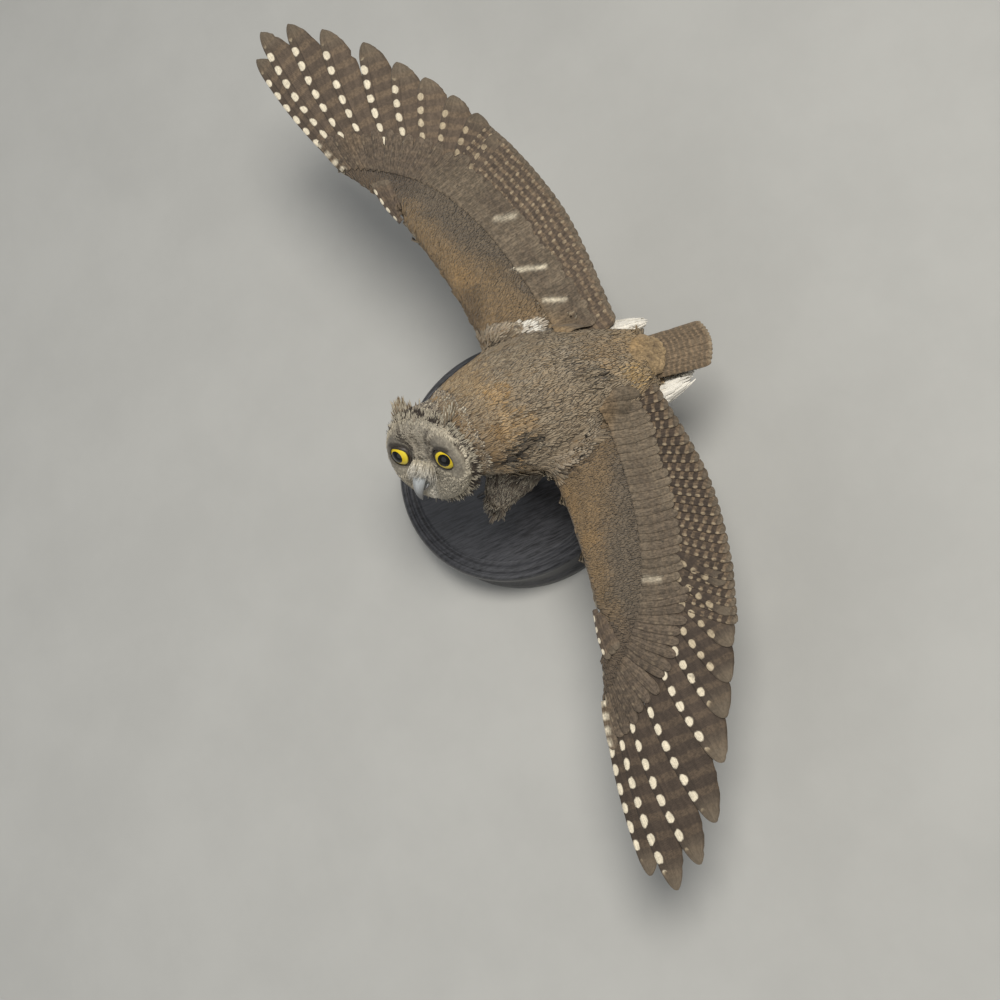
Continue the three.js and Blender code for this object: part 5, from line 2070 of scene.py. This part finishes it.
    def bill(self, finish: Material) -> None:
        """Builds the upper bill with its hook, cere and nostrils, and the lower bill."""
        for name, stations, node in (("bill_upper_horn", self.BILL, "bill_upper"),
                                     ("bill_lower_horn", self.LOWER, "bill_lower")):
            count = 26 if node == "bill_upper" else 14
            line = spline([s[:3] for s in stations], count)
            known = run_lengths([s[:3] for s in stations])
            known /= known[-1]
            wide, tall = (through(list(zip(known, [s[k] for s in stations])))(np.linspace(0, 1,
                                                                                          count))
                          for k in (3, 4))
            way = np.gradient(line, axis=0)
            bm = bmesh.new()
            rings = []
            left = self.head.axes[:, 1]
            for i in range(count):
                along = self.head.axes @ way[i]
                x = left
                y = unit(np.cross(unit(along), x))
                rings.append(placed([x * wide[i] * MM, y * tall[i] * MM, unit(along) * MM],
                                    self.head.out(line[i]) * MM))
            loft(bm, rings, 28)
            local = self.head.into(np.array([np.array(v.co) / MM for v in bm.verts]))
            growth = []
            for v, q in zip(bm.verts, local):
                near = int(np.argmin(np.linalg.norm(line - q, axis=1)))
                growth.append(near / (count - 1))
                if node == "bill_upper":
                    side = 1.0 if q[1] > 0 else -1.0
                    pit = math.exp(-(((q[0] - 18.3) / 1.0) ** 2
                                     + ((q[2] + 4.6) / 0.8) ** 2)) * (abs(q[1]) > 1.6)
                    cere = 0.28 * float(smooth(np.array(18.9 - q[0] + 0.3 * q[2] + 1.4), 0.0, 0.7))
                    ridge = math.exp(-(q[1] / 0.8) ** 2) * 0.25
                    out = np.array([0.35 * cere + ridge * 0.8, side * (cere * 0.6 - pit * 1.1),
                                    ridge * 0.4])
                    v.co += Vector(self.head.axes @ out * MM)
            mesh = mesh_of(bm, name)
            layer = mesh.attributes.new("growth", "FLOAT", "POINT")
            layer.data.foreach_set("value", np.array(growth, np.float32))
            piece_from_mesh(name, mesh, finish, "bill_horn", node)

    def strands(self, start: Array, way: Array, up: Array, length: Array, half: Array,
                colour: Array, curve: float, rng: Random) -> Shape:
        """Builds free thin lobes in the head's frame.

        Args:
            start: Roots.
            way: Unit vectors along each.
            up: Upward vectors of each.
            length: Lengths.
            half: Half widths.
            colour: Root and tip colours, shape (n, 2, 3).
            curve: How far the tip bends towards up, as a share of the length.
            rng: The random numbers.

        Returns:
            The shape.
        """
        n = len(start)
        t = np.array([0.0, 0.4, 0.8, 1.0])
        bend = curve * rng.uniform(0.4, 1.4, n)
        q = start[:, None] + way[:, None] * (t[None] * length[:, None])[..., None]
        q = q + up[:, None] * (t[None] ** 2 * (length * bend)[:, None])[..., None]
        centre = self.head.out(q)
        side = unit(np.cross(up, way)) @ self.head.axes.T
        normal = unit(np.cross(way, np.cross(up, way))) @ self.head.axes.T
        sides, normals = np.repeat(side[:, None], 4, 1), np.repeat(normal[:, None], 4, 1)
        wide = half[:, None] * np.array([0.8, 1.0, 0.6])[None]
        share = t[None, :, None] ** 0.8
        tone = colour[:, :1] * (1 - share) + colour[:, 1:] * share
        find = self.skin.tree.find_nearest
        uv = np.array([self.skin.uv[find(Vector(p))[2]].mean(axis=0) for p in centre[:, 0]])
        spot = np.repeat(uv[:, None], 4, 1)
        spot[..., 1] += Coat.PATCH * (t - 0.5)[None]
        spot = np.concatenate([spot, np.full((n, 4, 1), Coat.PATCH * 0.4)], axis=-1)
        vane = np.repeat(np.repeat(np.array([[[0.5, 0.0, 0.5]]]), 4, 1), n, 0)
        marks = np.tile([0.0, 0.0, 0.8], (n, 1))
        return lobes_shape(centre, normals, sides, wide, wide * 0.5, tone, vane, marks, spot)

    def ear_tuft(self, side: int, finish: Material) -> None:
        """Builds an ear tuft as a sheaf of narrow feathers."""
        name = SIDES[side]
        rng = np.random.default_rng(SEED + 70 + side)
        n = self.TUFT_COUNT
        root = np.array(self.TUFT_ROOT) * [1, side, 1]
        tip = np.array(self.TUFT_TIP) * [1, side, 1]
        axis = unit(tip - root)
        disc = rng.normal(0, 1, (n, 3)) * [3.0, 1.7, 0.8]
        share = rng.random(n) ** 1.4
        start = root + disc * (1 - 0.55 * share)[:, None] + axis * (share * 7.0)[:,
                                                                                 None] - axis * 1.5
        way = unit(axis + np.array([-0.35, 0.0, 0.0]) + disc * [0.02, 0.04, 0.0]
                   + rng.normal(0, 0.05, (n, 3)))
        up = np.tile([1.0, 0.0, 0.25], (n, 1)) + rng.normal(0, 0.25, (n, 3))
        length = rng.uniform(5.5, 9.0, n) * (1 - 0.15 * share)
        ground = np.where(rng.random((n, 1)) < 0.3, Tint.STREAK.light, Tint.CROWN.light)
        tips = np.where(rng.random((n, 1)) < 0.6, Tint.PALE.light, Tint.NECK.light) * 0.85
        colour = np.stack([ground, tips], axis=1)
        shape = self.strands(start, way, unit(up), length, rng.uniform(0.45, 0.8, n), colour, -0.12,
                             rng)
        piece_from_shape(f"ear_tuft_{name}_feathers", shape, finish, "grey_plumage",
                         f"ear_tuft_{name}")

    def bristles(self, finish: Material) -> None:
        """Builds the pale bristles around the root of the bill."""
        rng = np.random.default_rng(SEED + 80)
        n = self.BRISTLE_COUNT
        turn = rng.uniform(math.radians(-50), math.radians(230), n)
        left, rise = np.array([0.0, 1.0, 0.0]), unit(np.array([0.66, 0.0, 0.75]))
        ahead = unit(np.array([0.75, 0.0, -0.66]))
        out = left * np.cos(turn)[:, None] + rise * np.sin(turn)[:, None]
        far = rng.uniform(3.6, 5.6, n) + 0.7 * np.abs(np.cos(turn))
        start = np.array([14.4, 0.0, -2.2]) + out * far[:, None] - ahead * rng.uniform(0.0, 2.4,
                                                                                       n)[:, None]
        way = unit(ahead + out * 0.16 + rng.normal(0, 0.11, (n, 3)))
        up = unit(out + np.array([0.25, 0.0, 0.9]))
        tips = np.where(rng.random((n, 1)) < 0.15, Tint.STREAK.light, Tint.WHITE.light)
        colour = np.stack([np.tile(Tint.PALE.light, (n, 1)), tips], axis=1)
        shape = self.strands(start, way, up, rng.uniform(5.0, 9.5, n), rng.uniform(0.14, 0.28, n),
                             colour, -0.16, rng)
        piece_from_shape("bill_bristles", shape, finish, "grey_plumage")


@dataclass(frozen=True)
class Foot:
    """One foot: bare toes with pads and hooked claws on the base's top."""

    name: str
    side: int
    sole: Triple
    turn: float
    toes: Tuple[Tuple[float, float], ...] = ((-0.75, 12.0), (-0.1, 16.0), (0.55, 15.0),
                                             (math.pi - 0.35, 10.0))

    def out(self, turn: float, far: float, high: float) -> Array:
        """Returns a point of the bird that far out along a toe."""
        x, y = self.side * far * math.sin(turn), -far * math.cos(turn)
        c, s = math.cos(self.turn), math.sin(self.turn)
        return np.array(self.sole) + [x * c - y * s, x * s + y * c, high + 0.3]

    def build(self, skin: Material, horn: Material) -> None:
        """Builds the toes as one piece and the claws as another."""
        toes, claws = bmesh.new(), bmesh.new()
        up = np.array([0.0, 0.0, 1.0])
        for turn, reach in self.toes:
            line = spline([self.out(turn, 0.0, 4.6), self.out(turn, 0.4 * reach, 3.6),
                           self.out(turn, 0.75 * reach, 3.0), self.out(turn, reach, 2.45)], 22)
            way = np.gradient(line, axis=0)
            t = np.linspace(0, 1, 22)
            size = np.interp(t, [0, 0.4, 0.75, 1],
                             [2.6, 2.1, 2.0, 1.5]) * (1 + 0.07 * np.sin(t * 24))
            loft(toes, [ring_at(p, d, up, r, r * 0.95) for p, d, r in zip(line, way, size)], 16)
            line = spline([self.out(turn, reach - 1.0, 2.7), self.out(turn, reach + 2.0, 3.1),
                           self.out(turn, reach + 4.4, 2.3), self.out(turn, reach + 6.4, 0.45)], 16)
            way = np.gradient(line, axis=0)
            size = np.interp(np.linspace(0, 1, 16), [0, 0.45, 0.85, 1], [1.15, 0.85, 0.4, 0.12])
            loft(claws, [ring_at(p, d, up, r * 0.85, r) for p, d, r in zip(line, way, size)], 14)
        heel = spline([self.out(0.0, -0.5, 8.0), self.out(0.0, 0.0, 5.0), self.out(0.0, 0.0, 3.2)],
                      8)
        loft(toes,
             [ring_at(p, [0, 0, -1.0], [0.0, 1.0, 0.0], r, r) for p,
              r in zip(heel, np.linspace(3.0, 3.4, 8))], 18)
        bm_piece(f"toes_{self.name}", toes, skin, "toe_skin", f"foot_{self.name}")
        bm_piece(f"claws_{self.name}", claws, horn, "bill_horn")


@dataclass(frozen=True)
class Base:
    """The turned base, spun about the upright axis."""

    profile: Tuple[Tuple[float, float], ...] = (
        (0.0, 0.0), (64.0, 0.0), (69.3, 0.0), (70.3, 1.0), (70.3, 5.2), (69.8, 6.2),
        (68.5, 7.9), (68.1, 9.2), (67.6, 16.0), (67.9, 19.0), (68.7, 21.8), (69.3, 23.2),
        (70.2, 24.6), (70.8, 26.0), (70.5, 27.5), (69.6, 28.8), (68.3, 29.7), (66.8, 30.0),
        (66.3, 29.4), (65.9, 29.1), (65.2, 29.4), (64.6, 30.0), (64.0, 30.3), (63.3, 30.2),
        (62.6, 29.8), (61.9, 29.3), (61.1, 29.1), (60.7, 29.5), (60.2, 29.95), (59.0, 30.0),
        (40.0, 30.0), (18.0, 30.0), (0.0, 30.0),
    )
    steps: int = 160

    def build(self, finish: Material) -> None:
        """Spins the profile and closes its poles."""
        bm = bmesh.new()
        verts = [bm.verts.new((r * MM, 0.0, z * MM)) for r, z in self.profile]
        edges = [bm.edges.new(pair) for pair in zip(verts, verts[1:])]
        bmesh.ops.spin(bm, geom=verts + edges, cent=(0, 0, 0), axis=(0, 0, 1), angle=2 * math.pi,
                       steps=self.steps, use_merge=True, use_duplicate=False)
        bmesh.ops.remove_doubles(bm, verts=bm.verts, dist=1e-6)
        bm_piece("base_turned", bm, finish, "black_wood", "base")


# ------------------------------------------------------------------ the studio


@dataclass(frozen=True)
class Studio:
    """The floor, the soft lights and the camera above the bird."""

    place: Triple = (0.327588, 0.215820, 0.853463)
    right: Triple = (0.32955, 0.87031, -0.36600)
    up: Triple = (-0.88135, 0.42259, 0.21131)
    back: Triple = (0.33857, 0.25293, 0.90631)
    lens: float = 57.0887
    film: float = 36.0
    aim: Triple = (0.0, 0.02, 0.08)
    sky: Tuple[float, float, float, float] = (0.93, 0.96, 1.0, 1.0)
    sky_strength: float = 0.22
    floor_size: float = 8.0
    # Name, place, size in metres, power in watts and tint.
    lamps: Tuple[Tuple[str, Triple, float, float, Triple], ...] = (
        ("key", (0.08, 0.50, 1.45), 0.60, 17.0, (1.0, 0.975, 0.93)),
        ("fill", (-0.9, -0.5, 1.1), 1.2, 2.0, (0.93, 0.96, 1.0)),
        ("front", (0.6, -0.7, 0.8), 1.0, 2.2, (1.0, 1.0, 1.0)),
    )

    def light(self, name: str, place: Triple, size: float, power: float,
              tint: Triple) -> None:
        """Hangs a soft round light that looks at the bird."""
        lamp = bpy.data.lights.new(name, "AREA")
        lamp.shape = "DISK"
        lamp.size = size
        lamp.energy = power
        lamp.color = tint
        holder = bpy.data.objects.new(name, lamp)
        holder.location = place
        way = Vector(self.aim) - Vector(place)
        holder.rotation_euler = way.to_track_quat("-Z", "Y").to_euler()
        bpy.context.scene.collection.objects.link(holder)

    def build(self) -> None:
        """Sets the world, floor, lights and camera."""
        scene = bpy.context.scene
        world = bpy.data.worlds.new("studio")
        scene.world = world
        world.use_nodes = True
        background = world.node_tree.nodes["Background"]
        background.inputs["Color"].default_value = self.sky
        background.inputs["Strength"].default_value = self.sky_strength
        bm = bmesh.new()
        bmesh.ops.create_grid(bm, x_segments=1, y_segments=1, size=self.floor_size)
        mesh = mesh_of(bm, "floor", outward=False)
        mesh.materials.append(FloorFinish().make())
        floor = bpy.data.objects.new("floor", mesh)
        scene.collection.objects.link(floor)
        for name, place, size, power, tint in self.lamps:
            self.light(name, place, size, power, tint)
        camera = bpy.data.cameras.new("camera")
        camera.lens = self.lens
        camera.sensor_width = self.film
        camera.clip_start = 0.01
        holder = bpy.data.objects.new("camera", camera)
        holder.matrix_world = placed([self.right, self.up, self.back], self.place)
        scene.collection.objects.link(holder)
        scene.camera = holder
        scene.view_settings.view_transform = "Standard"


# ------------------------------------------------------------------ the owl


class Owl:
    """Builds every piece of the bird over its frame."""

    PLUME_GAP = 8.0
    COVERT_GAP, UNDER_GAP = 12.0, 11.0
    FRONT_BAND = 5.0
    LID_CLEAR = math.cos(math.radians(65.0))

    def __init__(self, nodes: Dict[str, Piece]) -> None:
        """Keeps the frame's nodes and makes the finishes."""
        self.head = Head()
        self.marks = Markings(self.head)
        self.skin = Skin(nodes)
        self.plumage = PlumageFinish().make()

    def build_skin(self) -> None:
        """Builds the skin and paints it with the coat's own markings, darkened as painted shade
        under the coat.
        """
        self.skin.build()
        mesh = self.skin.mesh
        ground = self.marks.ground(self.skin.points, self.skin.normals, self.skin.region)
        # The skin is painted at 0.72 of the coat's colour: painted shade under the coat.
        colour_layer(mesh, "plumage", ground * 0.72)
        vector_layer(mesh, "vane", np.tile([0.5, 0.0, 0.5], (len(ground), 1)))
        colour_layer(mesh, "marks", np.tile([0.0, 0.0, 1.0], (len(ground), 1)))
        flesh = [name for names in FLESH.values() for name in names]
        piece_from_mesh("skin", mesh, self.plumage, "brown_plumage", *flesh)

    def build_coat(self) -> None:
        """Covers the skin, with the smallest feathers on face and legs."""
        coat = Coat(self.skin, self.marks, self.plumage)

        def only(*regions: Region, up: Optional[bool] = None) -> Rule:
            """Makes a test for regions, and for the upper or under side."""
            def where(p: Array, n: Array, r: Array) -> Array:
                """Returns the share of the spacing."""
                keep = is_in(r, *regions)
                if up is not None:
                    keep &= (n[:, 2] > -0.15) == up
                return np.where(keep, 1.0, 0.0)

            return where

        def off_plumes(where: Rule) -> Rule:
            """Keeps a test clear of the flank plumes."""
            def clear(p: Array, n: Array, r: Array) -> Array:
                """Returns the share of the spacing."""
                away = np.min([line_distance(p, axis[:2]) for axis in PLUMES.values()], axis=0)
                return np.where(away > self.PLUME_GAP, where(p, n, r), 0.0)

            return clear

        body = (Region.TRUNK, Region.RUMP)
        coat.dress("coat_back", Tuft(2.35, 13.5, 5.8, 0.95, 9, loose=0.06), "brown_plumage", 1,
                   off_plumes(only(*body, up=True)))
        coat.dress("coat_belly", Tuft(3.2, 13.0, 6.0, 3.0, 7), "brown_plumage", 2,
                   off_plumes(only(*body, up=False)))
        coat.dress("coat_neck", Tuft(2.05, 10.5, 4.8, 0.95, 9, loose=0.07), "brown_plumage", 3,
                   only(Region.NECK))
        coat.dress("coat_breast", Tuft(1.9, 11.5, 3.8, 1.9, 9, spread=0.6, loose=0.22),
                   "pale_plumage", 4, only(Region.BREAST))
        coat.dress("coat_vent", Tuft(1.7, 9.0, 3.2, 1.2, 9, spread=0.25, loose=0.10),
                   "pale_plumage", 5, off_plumes(only(Region.UNDERTAIL)))
        coat.dress("coat_thighs", Tuft(2.3, 8.0, 4.0, 1.9, 7, loose=0.14), "pale_plumage", 6,
                   only(Region.THIGH))
        coat.dress("coat_tarsi", Tuft(1.5, 4.2, 2.2, 0.9, 5, rings=2, steps=2), "pale_plumage", 7,
                   only(Region.TARSUS))

        def crown(p: Array, n: Array, r: Array) -> Array:
            """Covers the head behind the face, finer towards its rim."""
            q = self.head.into(p)
            return np.where(is_in(r, Region.CROWN), 1.15 - 0.3 * smooth(q[:, 0], -10.0, 8.0), 0.0)

        coat.dress("coat_crown", Tuft(1.5, 5.2, 3.0, 1.0, 5), "grey_plumage", 8, crown)

        def face(p: Array, n: Array, r: Array) -> Array:
            """Covers the face but for the eyes and the bill's root."""
            q = self.head.into(p)
            clear = np.ones(len(p), bool)
            for side in (1, -1):
                e = self.head.eye_at(side)
                clear &= np.linalg.norm(q - e, axis=1) > self.head.eye_radius + 0.25
                clear &= unit(q - e) @ self.head.socket(side) < self.LID_CLEAR
            clear &= np.hypot(q[:, 1] / 3.4, (q[:, 2] + 5.5) / 5.0) > 1
            size = 0.85 + 0.25 * smooth(np.hypot(q[:, 1] / 27.0, q[:, 2] / 25.0), 0.5, 1.0)
            return np.where(is_in(r, Region.FACE) & clear, size, 0.0)

        coat.dress("coat_face", Tuft(1.15, 3.8, 1.7, 1.0, 5, rings=2, steps=2, loose=0.08),
                   "grey_plumage", 9, face)
        for name, plan in WINGS.items():

            def arm(p: Array, n: Array, r: Array, plan: WingPlan = plan) -> Array:
                """Covers the wing's upper side in front of the large coverts."""
                along, back = plan.flat(p)
                free = COVERT_EDGE(along) - back > self.COVERT_GAP
                size = 1.0 - 0.25 * smooth(-back, 2.0,
                                           10.0) + 0.35 * smooth(back - COVERT_EDGE(along), -24.0,
                                                                 -8.0)
                front = back < LEAD_EDGE(along) + self.FRONT_BAND
                return np.where(is_in(r, plan.region) & (n[:, 2] > np.where(front, -0.1, 0.6))
                                & free, size, 0.0)

            def below(p: Array, n: Array, r: Array, plan: WingPlan = plan) -> Array:
                """Covers the wing's underside."""
                along, back = plan.flat(p)
                front = back < LEAD_EDGE(along) + self.FRONT_BAND
                free = COVERT_EDGE(along) - back > self.UNDER_GAP
                return np.where(is_in(r, plan.region) & (n[:, 2] <= np.where(front, -0.1, -0.6))
                                & free, 1.0, 0.0)

            coat.dress(f"coat_wing_{name}", Tuft(1.9, 9.5, 4.6, 0.7, 7, loose=0.05),
                       "brown_plumage", 10 + plan.side, arm)
            coat.dress(f"coat_under_{name}", Tuft(2.9, 8.5, 5.0, 1.5, 5, rings=2), "brown_plumage",
                       13 + plan.side, below)

    def build(self) -> None:
        """Builds the whole bird and its base."""
        self.build_skin()
        for plan in WINGS.values():
            Wing(plan, self.marks, self.plumage, self.skin.tree).build()
        Tail().build(self.marks, self.plumage)
        self.build_coat()
        dress = HeadDress(self.head, self.skin)
        glass = EyeFinish().make()
        lid = SkinFinish("lid_skin", (34, 29, 25), (66, 56, 46), 900.0, 0.6).make()
        for side in (1, -1):
            dress.eye(side, glass)
            dress.lids(side, lid)
            dress.ear_tuft(side, self.plumage)
        dress.bill(BillFinish().make())
        dress.bristles(self.plumage)
        dress.lashes(self.plumage)
        dress.ruff(self.plumage)
        toe = SkinFinish("toe_skin_grey", (120, 108, 92), (158, 144, 124), 700.0, 0.6, 0.5).make()
        claw = SkinFinish("claw_horn", (40, 36, 33), (66, 58, 52), 400.0, 0.3, 0.15).make()
        for foot in (Foot("left", 1, (14.0, -4.0, 30.0), 0.05),
                     Foot("right", -1, (-18.0, -2.0, 30.0), 0.0)):
            foot.build(toe, claw)
        Base().build(BlackWood().make())


def main() -> None:
    """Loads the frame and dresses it."""
    logging.basicConfig(level=logging.INFO, format="%(name)s %(message)s")
    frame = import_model()
    Owl(frame["nodes"]).build()
    Studio().build()


if __name__ == "__main__":
    main()
